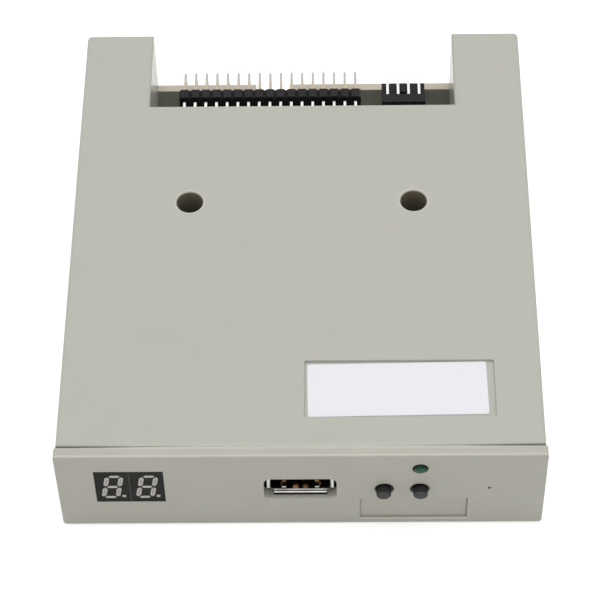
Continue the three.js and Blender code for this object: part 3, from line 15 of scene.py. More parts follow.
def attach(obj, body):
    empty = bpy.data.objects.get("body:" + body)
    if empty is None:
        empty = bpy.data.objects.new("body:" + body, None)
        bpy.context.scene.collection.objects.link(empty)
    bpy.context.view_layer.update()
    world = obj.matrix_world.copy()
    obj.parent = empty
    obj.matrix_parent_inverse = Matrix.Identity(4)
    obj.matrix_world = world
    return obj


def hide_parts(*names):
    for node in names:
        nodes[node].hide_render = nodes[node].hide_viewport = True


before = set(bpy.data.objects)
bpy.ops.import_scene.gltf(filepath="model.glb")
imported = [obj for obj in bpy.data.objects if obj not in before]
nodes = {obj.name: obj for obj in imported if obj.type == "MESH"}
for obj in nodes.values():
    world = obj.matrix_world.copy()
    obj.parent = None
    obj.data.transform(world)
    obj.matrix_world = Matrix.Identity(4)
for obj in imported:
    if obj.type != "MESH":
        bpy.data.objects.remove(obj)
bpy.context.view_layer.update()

MM = 0.001
ORIGIN_DEPTH = 59.125
# The signs of a rectangle's corners, going round.
CORNERS = ((-1, -1), (1, -1), (1, 1), (-1, 1))


def place(x, depth, height):
    """A point, in the frame's metres."""
    return Vector((x, depth - ORIGIN_DEPTH, height)) * MM


def at_depth(depth):
    """The frame's Y at a depth, in metres."""
    return place(0, depth, 0).y


def add_node(tree, kind, **settings):
    """A new shader node of that kind in a tree."""
    made = tree.nodes.new("ShaderNode" + kind)
    for key, value in settings.items():
        setattr(made, key, value)
    return made


# Camera

CAMERA_PLACE = (7.929, -273.348, 433.843)
CAMERA_RIGHT = (0.9998529, 0.0044127, -0.0165754)
CAMERA_DOWN = (-0.0066045, -0.7927995, -0.6094467)
CAMERA_AHEAD = (-0.0158303, 0.6094665, -0.7926537)
FOCAL_LENGTH = 143.0
SENSOR_WIDTH = 36.0
CLIP_START = 0.01
CLIP_END = 20


def make_camera():
    """The photograph's camera, as it was fitted to points of the drive."""
    data = bpy.data.cameras.new("camera")
    data.sensor_fit = "HORIZONTAL"
    data.sensor_width = SENSOR_WIDTH
    data.lens = FOCAL_LENGTH
    data.clip_start = CLIP_START
    data.clip_end = CLIP_END
    camera = bpy.data.objects.new("camera", data)
    bpy.context.scene.collection.objects.link(camera)
    right, up, back = Vector(CAMERA_RIGHT), -Vector(CAMERA_DOWN), -Vector(CAMERA_AHEAD)
    turn = Matrix((right, up, back)).transposed().to_4x4()
    camera.matrix_world = Matrix.Translation(place(*CAMERA_PLACE)) @ turn
    bpy.context.scene.camera = camera


# Studio, in metres and watts

WHITE = (1, 1, 1, 1)
SKY_FRONT = 0.45
SKY_REAR = 0.6
# Each lamp's power, its side and its place.
LAMPS = {"key": (5.9, 1.0, (0.05, 0.12, 1.1)), "fill": (1.1, 0.8, (-0.1, -1.15, 0.3))}
FLOOR_SIZE = 6.0
FLOOR_LEVEL = -0.0002
FLOOR_SHADE = 0.88
FLOOR_LIFT = 0.5


def seen_directly(tree):
    """One for camera, glossy and transmitted rays, which see the plain background."""
    path = add_node(tree, "LightPath")
    some = add_node(tree, "Math", operation="ADD")
    every = add_node(tree, "Math", operation="ADD", use_clamp=True)
    tree.links.new(path.outputs["Is Camera Ray"], some.inputs[0])
    tree.links.new(path.outputs["Is Glossy Ray"], some.inputs[1])
    tree.links.new(some.outputs[0], every.inputs[0])
    tree.links.new(path.outputs["Is Transmission Ray"], every.inputs[1])
    return every.outputs[0]


def make_world():
    """A dome that lights a little more from the rear, and looks plain white."""
    world = bpy.data.worlds.new("studio")
    world.use_nodes = True
    tree = world.node_tree
    tree.nodes.clear()
    direction = add_node(tree, "TexCoord")
    parts = add_node(tree, "SeparateXYZ")
    level = add_node(tree, "MapRange")
    for key, number in (("From Min", -1), ("From Max", 1), ("To Min", SKY_FRONT), ("To Max", SKY_REAR)):
        level.inputs[key].default_value = number
    light = add_node(tree, "Background")
    light.inputs["Color"].default_value = WHITE
    plain = add_node(tree, "Background")
    plain.inputs["Color"].default_value = WHITE
    plain.inputs["Strength"].default_value = 1.0
    mix = add_node(tree, "MixShader")
    out = add_node(tree, "OutputWorld")
    tree.links.new(direction.outputs["Generated"], parts.inputs[0])
    tree.links.new(parts.outputs["Y"], level.inputs["Value"])
    tree.links.new(level.outputs["Result"], light.inputs["Strength"])
    tree.links.new(seen_directly(tree), mix.inputs["Fac"])
    tree.links.new(light.outputs[0], mix.inputs[1])
    tree.links.new(plain.outputs[0], mix.inputs[2])
    tree.links.new(mix.outputs[0], out.inputs["Surface"])
    bpy.context.scene.world = world


def make_lamps():
    """Square soft boxes that look at the drive: a key overhead and a low fill in front of it."""
    for name, (power, size, where) in LAMPS.items():
        data = bpy.data.lights.new(name, "AREA")
        data.shape = "SQUARE"
        data.size = size
        data.energy = power
        lamp = bpy.data.objects.new(name, data)
        bpy.context.scene.collection.objects.link(lamp)
        lamp.location = where
        lamp.rotation_euler = (-Vector(where)).to_track_quat("-Z", "Y").to_euler()


def make_floor():
    """A pale floor that keeps the shadow. It is clear from below, so that the underside can be seen."""
    half = FLOOR_SIZE / 2
    mesh = bpy.data.meshes.new("floor")
    mesh.from_pydata([(half * i, half * j, FLOOR_LEVEL) for i, j in CORNERS], [], [(0, 1, 2, 3)])
    floor = bpy.data.objects.new("floor", mesh)
    bpy.context.scene.collection.objects.link(floor)
    finish = bpy.data.materials.new("floor")
    finish.use_nodes = True
    tree = finish.node_tree
    tree.nodes.clear()
    paint = add_node(tree, "BsdfDiffuse")
    paint.inputs["Color"].default_value = (FLOOR_SHADE, FLOOR_SHADE, FLOOR_SHADE, 1)
    level = add_node(tree, "Math", operation="MULTIPLY")
    level.inputs[1].default_value = FLOOR_LIFT
    lift = add_node(tree, "Emission")
    both = add_node(tree, "AddShader")
    side = add_node(tree, "NewGeometry")
    clear = add_node(tree, "BsdfTransparent")
    mix = add_node(tree, "MixShader")
    out = add_node(tree, "OutputMaterial")
    tree.links.new(seen_directly(tree), level.inputs[0])
    tree.links.new(level.outputs[0], lift.inputs["Strength"])
    tree.links.new(paint.outputs[0], both.inputs[0])
    tree.links.new(lift.outputs[0], both.inputs[1])
    tree.links.new(side.outputs["Backfacing"], mix.inputs["Fac"])
    tree.links.new(both.outputs[0], mix.inputs[1])
    tree.links.new(clear.outputs[0], mix.inputs[2])
    tree.links.new(mix.outputs[0], out.inputs["Surface"])
    mesh.materials.append(finish)


# Sizes of the cover and tray

SEAM_HEIGHT = 8.001
SEAM_WIDTH = 0.09
WELL_X = 25.0
WELL_DEPTH = 68.61
WELL_RADIUS = 3.1
# Painted shade in a well: the middle and half of its height, and where it turns browner.
WELL_MIDDLE = 17.1
WELL_HALF = 8.0
WELL_SHADE = (17.5, 25.1)
# A painted highlight round each well's rim: its radius, half its width, and the height above which it
# lies.
RIM_RADIUS = 3.24
RIM_HALF = 0.14
RIM_HEIGHT = 25.3
# Behind this depth and below this height, the rear lip's upward faces are painted lighter.
REAR_LIP_DEPTH = 116.0
REAR_LIP_HEIGHT = 12.0

# Sizes of the joint between cover and bezel, which is shut in the middle and opens towards its ends;
# painted highlights lie where it is shut, painted shadow where it opens

JOINT_DEPTH = 2.72
JOINT_WIDTH = 0.32
JOINT_OPENS = (34.0, 48.0)
# Each painted highlight strip's depth, its width and its colour.
JOINT_HIGHLIGHTS = ((2.75, 1.3, "c6c6bc"), (2.72, 0.36, "f0f0e6"))

# Sizes of the bezel's panel, top edge and socket opening

PANEL_LEFT = 12.4
PANEL_RIGHT = 35.0
PANEL_HEIGHTS = (2.2, 9.45)
# Each painted line's place, half its width, its colour and how much of that shows. Dark lines are painted
# shade along the panel's recess, pale ones painted highlights on its edges.
PANEL_SIDES = ((PANEL_LEFT, 0.1, "5f5a50", 0.35), (PANEL_RIGHT, 0.25, "5f5a50", 0.35),
               (35.42, 0.12, "cfcdc2", 0.8))
PANEL_FRAME = ((2.2, 0.08, "6f6a60", 0.2), (1.72, 0.28, "d6d4c9", 0.8))
# Where the bezel's top front edge is painted with a highlight: its depth, half its width, and the height
# above which it lies.
EDGE_DEPTH = 0.52
EDGE_HALF = 0.2
EDGE_HEIGHT = 25.0
# The floor of the socket's mouth: the middle and half of its height, and the depths over which its
# painted light fades.
MOUTH_HEIGHT = 9.5
MOUTH_HALF = 1.5
MOUTH_DEPTHS = (0, 1.2)
LIP_SHADOW_DEPTH = 1.25
LIP_SHADOW_HALF = 5.7

# Sizes of the digits, from the line where their two bodies meet

DIGIT_SPLIT = -35.95
DIGIT_SEAM = 0.13
DIGIT_HALF = 3.625
DIGIT_HEIGHT = 14.195
DIGIT_SLANT = 0.16
UPRIGHT_SIDE = 1.47
UPRIGHT_RISE = 1.925
CORE_SIDE = 0.2
CORE_RISE = 0.95
MITRE_HALF = 0.3

# Sizes of the buttons and the indicator

BUTTONS = {"left": 17.3, "right": 25.0}
BUTTON_HEIGHT = 13.101
BUTTON_RADIUS = 1.525
BUTTON_PROUD = 1.75
BUTTON_EDGE = 0.28
BUTTON_CROWN = 0.06
BUTTON_BACK = 5.0
# How deep the rubbed face reaches, and between which depths the painted shade of the hole begins.
BUTTON_RUB = 0.12
BUTTON_SHADE = (-0.9, 0.2)
BUTTON_SIDES = 64
CROWN_RINGS = 5
RIM_STEP = 15
COLLAR_RADIUS = 2.1
COLLAR_FRONT = 3.45
COLLAR_BACK = 4.25

LED_X = 24.85
LED_HEIGHT = 20.651
LED_RADIUS = 1.5
# Radii between which the lens darkens to painted shade at its rim.
LED_RIM = (0.7, 1.4)
LED_FRONT = -0.8
LED_SHOULDER = 3.6
LED_FLANGE = 1.9
LED_REAR = 4.6
LED_SIDES = 48
LED_RINGS = 15

# Sizes of the memory stick socket

SOCKET_X = -0.2
SOCKET_HEIGHT = 13.101
SOCKET_HALF = 6.55
SOCKET_RISE = 2.85
SOCKET_SHEET = 0.3
SOCKET_CORNER = 0.6
SOCKET_TUBE_FRONT = 1.9
SOCKET_REAR = 15.5
LIP_HALF = 5.55
# Each lip's line is (depth, distance out of the shell's inner face), along the lip's own inner face.
LIP_LINE = ((2.3, 0.0), (2.0, 0.06), (1.95, 0.12), (1.9, 0.33), (1.45, 0.31), (1.33, 0.63))
# Below this height and ahead of this depth, the lower lip's flat step is painted dark.
LIP_STEP_HEIGHT = 10.4
LIP_STEP_DEPTH = 1.68
SIDE_LIP_HALF = 1.6
SIDE_LIP_LINE = ((2.3, 0.0), (1.75, 0.0), (1.68, 0.04), (1.62, 0.12), (1.35, 0.72))
# How far out from the socket's middle the side lips carry a painted reflection; SIDE_LIP_DEPTH is the
# depth ahead of which it lies.
SIDE_LIP_REFLECTION_OUT = 6.5
SIDE_LIP_DEPTH = 1.7
LEAF_X = 3.5
LEAF_WIDTH = 0.9
LEAF_SHEET = 0.2
# (depth, distance from the socket's middle) along a leaf.
LEAF_LINE = ((2.28, 2.58), (2.38, 2.47), (2.5, 2.45), (4.6, 2.43), (6.6, 2.2), (7.2, 2.2), (8.1, 2.5))
LEG_PLACES = (6.6, 12.6)
LEG_WIDTH = 1.8
LEG_LOW = 6.6

# Each contact's shift from the socket's middle, and the depth of its crest.
CONTACTS = ((-3.5, 5.3), (-1.0, 4.5), (1.0, 4.5), (3.5, 5.3))
CONTACT_LEVEL = 13.036
CONTACT_SHEET = 0.22
CONTACT_WIDTH = 0.95
CONTACT_TAIL = 16.375
CONTACT_LOW = 6.7
CONTACT_BEND = 0.5
CONTACT_EASE = 0.15
CREST_DROP = 0.42
# How far behind the crest each point lies, and what share of the drop it has.
CREST_LINE = ((1.9, 0), (0.9, 0.7), (0.3, 1), (-0.1, 0.9), (-0.6, 0.2))
CREST_TIP = (-0.7, 0.15)

# Sizes of the rear headers and the board under them

PITCH = 2.54
BOARD_TOP = 9.601
# Ahead of this depth the boards are painted in shade, where they show beside the socket.
BOARD_DARK = 14.0
BLOCK_LOW = 9.801
BLOCK_FRONT = 109.7
BLOCK_REAR = 112.24
NICK = 0.5
PIN = 0.64
PIN_TIP = 0.3
PIN_POINT = 0.1
PIN_TAPER = 0.7
PIN_BEND = 0.75
BEND_STEPS = 6
TAIL_LOW = 6.601
RIBBON_FIRST_X = -28.17
RIBBON_PLACES = 17
RIBBON_TIP = 118.69
RIBBON_LEGS = (108.2, 105.66)
# Depths where a pin's tone changes from root to tip, where painted shade darkens it ahead of the block,
# and its root.
RIBBON_FADE = (BLOCK_REAR, 115.8)
RIBBON_SHADE = (108.9, 109.05)
RIBBON_ROOT = 111.74
POWER_FIRST_X = 20.15
POWER_PITCH = 2.5
POWER_PLACES = 4
POWER_HEIGHT = 13.001
POWER_TIP = 117.3
POWER_LEG = 106.2
POWER_FADE = (114.2, 115.6)

# (radius, height over the board) up one solder joint.
SOLDER_PROFILE = ((0.86, 0.0), (0.84, 0.05), (0.6, 0.12), (0.42, 0.3), (0.36, 0.5))
SOLDER_BORE = 0.3
SOLDER_SIDES = 16
WELD_DISTANCE = 0.01
TRACK_WIDTH = 0.36
TRACK_THICKNESS = 0.035
TRACK_START = 0.8
TRACK_END = 98.2

# Sizes of the screws at the bottom of the wells

SCREW_SEAT = 11.851
SCREW_SHANK = 1.2
SCREW_END = 3.851
SCREW_TIP = 0.5
SCREW_TAPER = 0.7
SCREW_SIDES = 48
# (radius, height over the seat) up the head.
SCREW_HEAD = ((2.6, 0.0), (2.6, 0.75), (2.52, 1.1), (2.25, 1.45), (1.75, 1.75), (1.1, 1.93), (0.0, 2.0))
CROSS_LONG = 1.5
CROSS_THIN = 0.36
CROSS_FOOT = 0.45
CROSS_DEPTH = 1.15
CROSS_CLEAR = 0.2

# Sizes of the label. Its buckle has waves in radians per millimetre.

LABEL_CENTRE = (20.375, 17.3)
LABEL_SIZE = (37.9, 13.5)
LABEL_LOW = 24.8
LABEL_THICKNESS = 0.12
LABEL_TURN = math.radians(0.8)
LABEL_CORNER = 0.25
LABEL_GRID = (48, 18)
BUCKLE = 0.05
BUCKLE_STEEPNESS = 8
BUCKLE_WAVES = (0.45, 0.6)
BUCKLE_START = 1.1


# Materials

# The least Z of a normal that faces up, and of one that is nearly flat.
FACING_UP = 0.5
NEARLY_FLAT = 0.8
# How much metal the side lips' painted reflection loses, and the roughness it gains.
REFLECTION_DULLNESS = 0.9
REFLECTION_ROUGHNESS = 0.3
METAL_RELIEF = 0.003
TARNISH_SIZE = 2.2
BOARD_COAT = {"Coat_Weight": 0.35, "Coat_Roughness": 0.2}


def tint(code):
    """A colour written as six hex digits, as the linear values that the shader takes."""
    levels = [int(code[i:i + 2], 16) / 255 for i in (0, 2, 4)]
    return [c / 12.92 if c <= 0.04045 else ((c + 0.055) / 1.055) ** 2.4 for c in levels] + [1.0]


class Surface:
    """A procedural material on one shader, whose colour, roughness and relief come from noise in place.

    A mask is one where it holds and zero elsewhere. Masks by place take millimetres.
    """

    def __init__(self, name, **constants):
        self.material = bpy.data.materials.new(name)
        self.material.use_nodes = True
        self.tree = self.material.node_tree
        self.shader = self.tree.nodes["Principled BSDF"]
        for key, value in constants.items():
            self.shader.inputs[key.replace("_", " ")].default_value = value
        self.coordinates = self.node("TexCoord").outputs["Object"]

    def node(self, kind, **settings):
        return add_node(self.tree, kind, **settings)

    def link(self, source, target):
        self.tree.links.new(source, target)

    def math(self, operation, first, second=None):
        made = self.node("Math", operation=operation)
        for i, value in enumerate((first, second)):
            if value is None:
                continue
            if isinstance(value, (int, float)):
                made.inputs[i].default_value = value
            else:
                self.link(value, made.inputs[i])
        return made.outputs[0]

    def ranged(self, value, low, high, start=0.3, end=0.7):
        """A value that goes from low to high while another goes from start to end."""
        made = self.node("MapRange")
        for key, number in (("From Min", start), ("From Max", end), ("To Min", low), ("To Max", high)):
            made.inputs[key].default_value = number
        self.link(value, made.inputs["Value"])
        return made.outputs["Result"]

    def noise(self, size, detail=2.0, stretch=None):
        """Noise whose grains are about that many millimetres across, from 0 to 1."""
        where = self.coordinates
        if stretch:
            mapping = self.node("Mapping")
            mapping.inputs["Scale"].default_value = stretch
            self.link(where, mapping.inputs["Vector"])
            where = mapping.outputs[0]
        made = self.node("TexNoise")
        made.inputs["Scale"].default_value = 1 / (size * MM)
        made.inputs["Detail"].default_value = detail
        self.link(where, made.inputs["Vector"])
        return made.outputs["Fac"]

    def blend(self, share, first, second):
        """A mix of two colours. Each is six hex digits or another node's output."""
        made = self.node("Mix", data_type="RGBA")
        self.link(share, made.inputs["Factor"])
        for colour, socket in ((first, made.inputs[6]), (second, made.inputs[7])):
            if isinstance(colour, str):
                socket.default_value = tint(colour)
            else:
                self.link(colour, socket)
        return made.outputs[2]

    def colour(self, source):
        self.link(source, self.shader.inputs["Base Color"])

    def roughness(self, source):
        self.link(source, self.shader.inputs["Roughness"])

    def relief(self, height, depth, rounding=None):
        """Bumps that many millimetres high. Rounding softens the solid's own edges by that radius."""
        bump = self.node("Bump")
        bump.inputs["Distance"].default_value = depth * MM
        self.link(height, bump.inputs["Height"])
        if rounding:
            edge = self.node("Bevel", samples=4)
            edge.inputs["Radius"].default_value = rounding * MM
            self.link(edge.outputs[0], bump.inputs["Normal"])
        self.link(bump.outputs[0], self.shader.inputs["Normal"])

    def axis(self, name):
        """A point's X, Y or Z, in metres."""
        parts = self.node("SeparateXYZ")
        self.link(self.coordinates, parts.inputs[0])
        return parts.outputs[name]

    def upward(self):
        """The Z of a face's own normal."""
        parts = self.node("SeparateXYZ")
        self.link(self.node("NewGeometry").outputs["True Normal"], parts.inputs[0])
        return parts.outputs["Z"]

    def offset(self, value, middle):
        return self.math("SUBTRACT", value, middle)

    def absolute(self, value):
        return self.math("ABSOLUTE", value)

    def distance(self, first, second):
        """The distance that two offsets at right angles make."""
        squares = [self.math("MULTIPLY", value, value) for value in (first, second)]
        return self.math("SQRT", self.math("ADD", *squares))

    def product(self, first, *others):
        """The place where all masks hold, or a mask times a share."""
        for other in others:
            first = self.math("MULTIPLY", first, other)
        return first

    def inverse(self, mask):
        return self.math("SUBTRACT", 1.0, mask)

    def within(self, value, middle, half):
        """A mask where a value in metres is that near to the middle."""
        return self.math("LESS_THAN", self.absolute(self.offset(value, middle * MM)), half * MM)

    def near_depth(self, depth, half):
        off = self.absolute(self.offset(self.axis("Y"), at_depth(depth)))
        return self.math("LESS_THAN", off, half * MM)

    def ahead(self, depth):
        return self.math("LESS_THAN", self.axis("Y"), at_depth(depth))

    def behind(self, depth):
        return self.math("GREATER_THAN", self.axis("Y"), at_depth(depth))

    def below(self, height):
        return self.math("LESS_THAN", self.axis("Z"), height * MM)

    def above(self, height):
        return self.math("GREATER_THAN", self.axis("Z"), height * MM)

    def fade(self, depths, first, last):
        """A value that goes from first to last between two depths."""
        return self.ranged(self.axis("Y"), first, last, *(at_depth(depth) for depth in depths))


class Moulded(Surface):
    """Moulded plastic: a fine spark grain, faint clouds, rubbed patches and a shine at a low angle."""

    def __init__(self, name, light, dark, rough=(0.5, 0.62), grain=0.22, depth=0.008, rounding=0.15,
                 gloss=0.42, low_angle=0.2):
        super().__init__(name, Specular_IOR_Level=gloss)
        cloud = self.ranged(self.noise(16, 3), 0, 0.55, start=0.35, end=0.65)
        speck = self.ranged(self.noise(0.6, 1), 0, 0.35, start=0.45, end=0.75)
        self.shade = self.blend(self.math("MAXIMUM", cloud, speck), light, dark)
        facing = self.node("LayerWeight")
        facing.inputs["Blend"].default_value = 0.5
        mix = self.node("Mix")
        low = self.ranged(facing.outputs["Facing"], 0, 1, start=0.7, end=0.95)
        self.link(low, mix.inputs["Factor"])
        self.link(self.ranged(self.noise(4, 3), *rough), mix.inputs[2])
        mix.inputs[3].default_value = low_angle
        self.roughness(mix.outputs[0])
        self.relief(self.noise(grain, 2), depth, rounding)

    def stain(self, mask, code, share=1.0):
        """Lays that share of a colour over the plastic, where the mask holds."""
        self.shade = self.blend(self.product(mask, share), self.shade, code)

    def done(self):
        self.colour(self.shade)
        return self.material

    def joint_light_and_shade(self):
        """The joint between cover and bezel: painted highlights where it is shut, and a painted shadow in
        the gap where it opens at the ends.
        """
        start, end = JOINT_OPENS
        opened = self.ranged(self.absolute(self.axis("X")), 0, 1, start * MM, end * MM)
        shut = self.inverse(opened)
        # Painted highlights where the joint is shut, then painted shadow in the gap where it opens.
        for depth, width, code in JOINT_HIGHLIGHTS:
            self.stain(self.product(self.near_depth(depth, width / 2), shut), code, 0.9)
        line = self.near_depth(JOINT_DEPTH, JOINT_WIDTH / 2)
        self.stain(self.product(line, opened), "1e1a16", 0.95)


def housing_plastic():
    """Pale grey: a dark seam round the tray, painted shade in the wells with a painted highlight round
    their rims, and warm painted light on the rear lip's top.
    """
    s = Moulded("housing_plastic", "bfbfb6", "bcbcb2", gloss=0.32)
    seam = s.within(s.axis("Z"), SEAM_HEIGHT, SEAM_WIDTH / 2)
    s.stain(s.product(seam, s.inverse(s.absolute(s.upward()))), "4c4a45", 0.75)
    # Painted shade over the walls and floor of each well, turning browner towards its top.
    across = s.offset(s.absolute(s.axis("X")), WELL_X * MM)
    off = s.distance(across, s.offset(s.axis("Y"), at_depth(WELL_DEPTH)))
    well = s.product(s.math("LESS_THAN", off, WELL_RADIUS * MM),
                     s.within(s.axis("Z"), WELL_MIDDLE, WELL_HALF))
    start, end = WELL_SHADE
    rise = s.ranged(s.axis("Z"), 0, 1, start * MM, end * MM)
    s.stain(well, s.blend(rise, "7f7f78", "8a806c"))
    # Painted highlight on the top face round each well's rim.
    s.stain(s.product(s.within(off, RIM_RADIUS, RIM_HALF), s.above(RIM_HEIGHT)), "e6e5da", 0.6)
    # Painted light: the rear lip's upward faces are made lighter and warmer, as where light falls on
    # them.
    level = s.math("GREATER_THAN", s.upward(), FACING_UP)
    s.stain(s.product(s.behind(REAR_LIP_DEPTH), s.below(REAR_LIP_HEIGHT), level), "e0d2bc", 0.5)
    s.joint_light_and_shade()
    return s.done()


def bezel_plastic():
    """Grey, with lines of painted shade and painted highlight round the panel, a painted highlight on the
    top edge, painted light on the sill in the mouth, and painted shadow under the socket's lower lip.
    """
    s = Moulded("bezel_plastic", "bdbbb0", "b9b7ac", grain=0.25)
    low, high = PANEL_HEIGHTS
    upright = s.within(s.axis("Z"), (low + high) / 2, (high - low) / 2)
    # Painted shade and painted highlights along the panel's sides and along its lower edge.
    for x, half, code, share in PANEL_SIDES:
        s.stain(s.product(s.within(s.axis("X"), x, half), upright), code, share)
    span = s.within(s.axis("X"), (PANEL_LEFT + PANEL_RIGHT) / 2, (PANEL_RIGHT - PANEL_LEFT) / 2)
    for height, half, code, share in PANEL_FRAME:
        s.stain(s.product(s.within(s.axis("Z"), height, half), span), code, share)
    # Painted highlight along the bezel's top front edge.
    s.stain(s.product(s.near_depth(EDGE_DEPTH, EDGE_HALF), s.above(EDGE_HEIGHT)), "cdcbc0", 0.9)
    # Painted light on the upward floor of the socket's mouth, fading towards the rear.
    sill = s.product(s.within(s.axis("Z"), MOUTH_HEIGHT, MOUTH_HALF),
                     s.math("GREATER_THAN", s.upward(), FACING_UP))
    s.stain(s.product(sill, s.fade(MOUTH_DEPTHS, 0.9, 0.2)), "f4f2e8")
    under = s.product(s.behind(LIP_SHADOW_DEPTH), s.within(s.axis("X"), SOCKET_X, LIP_SHADOW_HALF))
    s.stain(s.product(sill, under), "1b1a18", 0.95)
    s.joint_light_and_shade()
    return s.done()


def display_plastic():
    """Warm black, with a painted highlight along the line where the two digit bodies meet."""
    s = Moulded("display_face", "191815", "121210", rough=(0.4, 0.5), grain=0.1, depth=0.003,
                rounding=0.12, gloss=0.1, low_angle=0.35)
    # Painted highlight along the meeting of the two digit bodies.
    s.stain(s.within(s.axis("X"), DIGIT_SPLIT, DIGIT_SEAM), "6f7067", 0.42)
    return s.done()


def button_plastic():
    """Satin black, rubbed a little paler on the face that fingers meet, with painted shade on the barrel
    inside its hole.
    """
    s = Moulded("button_plastic", "343432", "2a2a29", grain=0.1, depth=0.006, rounding=None, gloss=0.16,
                low_angle=0.35)
    worn = s.ranged(s.noise(0.7, 3), 0.6, 1)
    s.stain(s.product(s.ahead(BUTTON_RUB - BUTTON_PROUD), worn), "4b4b4a")
    # Painted shade on the barrel, deepening towards the rear inside the bezel's hole.
    s.stain(s.fade(BUTTON_SHADE, 0, 1), "080808")
    return s.done()


def black_plastic():
    return Moulded("black_plastic", "262627", "19191a", rough=(0.42, 0.55), grain=0.12, depth=0.006,
                   rounding=0.06, gloss=0.18, low_angle=0.4).done()


def paper():
    """Plain white paper with a faint grain of fibres."""
    s = Surface("label_paper", Roughness=0.7, Specular_IOR_Level=0.3)
    fibre = s.ranged(s.noise(0.35, 3, (1, 2.6, 1)), 0, 1)
    cloud = s.ranged(s.noise(5, 2), 0, 0.5)
    s.colour(s.blend(s.math("MAXIMUM", cloud, fibre), "f6f6fa", "f1f1f6"))
    s.relief(s.noise(0.3, 4, (1, 2.2, 1)), 0.01)
    return s.material


def metal(name, light, dark, rough, stretch, size=0.5):
    """Bright sheet or wire with faint drawing marks and a little tarnish."""
    s = Surface(name, Metallic=1.0)
    s.colour(s.blend(s.ranged(s.noise(TARNISH_SIZE, 3), 0, 1), light, dark))
    s.roughness(s.ranged(s.noise(size, 3, stretch), *rough))
    s.relief(s.noise(size / 2, 2, stretch), METAL_RELIEF)
    return s.material


def socket_metal():
    """Bright plated sheet. The side lips turn a satin of near-white colour, which is a painted
    reflection, and the lower lip's step is painted dark, a painted reflection of the socket's dark
    inside.
    """
    s = Surface("socket_steel")
    out = s.absolute(s.offset(s.axis("X"), SOCKET_X * MM))
    # The side lips lose most of their metal and take a near-white colour: a painted reflection of the
    # bright room, with a rougher satin.
    rubbed = s.product(s.math("GREATER_THAN", out, SIDE_LIP_REFLECTION_OUT * MM), s.ahead(SIDE_LIP_DEPTH))
    s.link(s.inverse(s.product(rubbed, REFLECTION_DULLNESS)), s.shader.inputs["Metallic"])
    plated = s.blend(s.ranged(s.noise(TARNISH_SIZE, 3), 0, 1), "d4d3d0", "b6b5b2")
    # Painted dark reflection on the lower lip's flat step, which mirrors the socket's dark inside above
    # it.
    step = s.product(s.math("GREATER_THAN", s.upward(), NEARLY_FLAT), s.below(LIP_STEP_HEIGHT),
                     s.ahead(LIP_STEP_DEPTH), s.math("LESS_THAN", out, LIP_HALF * MM))
    s.colour(s.blend(step, s.blend(rubbed, plated, "fffefa"), "24231f"))
    drawn = s.ranged(s.noise(0.5, 3, (0.25, 1, 1)), 0.08, 0.18)
    s.roughness(s.math("ADD", drawn, s.product(rubbed, REFLECTION_ROUGHNESS)))
    s.relief(s.noise(0.25, 2, (0.25, 1, 1)), METAL_RELIEF)
    return s.material


def wire_metal(name, root, tip, depths, shade=None):
    """Tinned wire whose tone changes from root to tip between two depths.

    With shade, the leg up to the block has a tone of its own, and painted shade darkens it there between
    those two depths.
    """
    s = Surface(name, Metallic=1.0)
    near = s.math("ADD", s.fade(depths, 1, 0), s.ranged(s.noise(1.2, 2), -0.1, 0.1))
    tone = s.blend(near, tip, root)
    if shade:
        behind = s.behind(RIBBON_ROOT)
        tone = s.blend(behind, "e2e0db", tone)
        # Painted shade on the leg just ahead of the block.
        tone = s.blend(s.product(s.fade(shade, 0, 1), s.inverse(behind)), tone, "34322f")
    s.colour(tone)
    s.roughness(s.ranged(s.noise(0.5, 3, (1, 0.2, 1)), 0.2, 0.34))
    s.relief(s.noise(0.2, 2, (1, 0.15, 1)), METAL_RELIEF)
    return s.material


def circuit_board(name, light, dark):
    """Solder mask over glass weave, with painted shade at the end that shows beside the socket."""
    s = Surface(name, Roughness=0.38, **BOARD_COAT)
    weave = s.product(s.ranged(s.noise(0.5, 1, (1, 0.12, 1)), 0, 1),
                      s.ranged(s.noise(0.5, 1, (0.12, 1, 1)), 0, 1))
    cloud = s.product(s.ranged(s.noise(9, 3), 0, 1), 0.5)
    mask = s.blend(s.math("MAXIMUM", weave, cloud), light, dark)
    # Painted shade over the board's front end.
    s.colour(s.blend(s.ahead(BOARD_DARK), mask, "0d100e"))
    s.relief(s.noise(0.5, 2), 0.006, 0.1)
    return s.material


def copper_under_mask():
    """Solder mask where a track lies under it, a little paler than the rest."""
    s = Surface("board_track", Roughness=0.36, **BOARD_COAT)
    s.colour(s.blend(s.ranged(s.noise(3, 3), 0, 1), "2c7443", "276a3d"))
    s.relief(s.noise(0.3, 2), 0.004)
    return s.material


def segment_resin():
    """Frosted resin, darker in the middle of each upright segment, with black mitres between segments."""
    s = Surface("segment_resin", Specular_IOR_Level=0.5)
    height = s.offset(s.axis("Z"), DIGIT_HEIGHT * MM)
    lean = s.math("MULTIPLY", height, DIGIT_SLANT)
    across = s.offset(s.offset(s.axis("X"), lean), DIGIT_SPLIT * MM)
    off = s.absolute(s.offset(s.absolute(across), DIGIT_HALF * MM))
    core = s.product(s.within(off, UPRIGHT_SIDE, CORE_SIDE),
                     s.within(s.absolute(height), UPRIGHT_RISE, CORE_RISE))
    bar = s.math("PINGPONG", height, UPRIGHT_RISE * MM)
    mitre = s.within(s.math("ADD", bar, off), UPRIGHT_SIDE, MITRE_HALF)
    frosted = s.blend(s.ranged(s.noise(0.5, 3), 0, 1), "cac7be", "b2afa6")
    face = s.blend(s.product(core, 0.55), frosted, "827f77")
    s.colour(s.blend(s.product(mitre, 0.95), face, "1c1b18"))
    s.roughness(s.ranged(s.noise(0.3, 2), 0.4, 0.6))
    s.relief(s.noise(0.12, 2), 0.01)
    return s.material


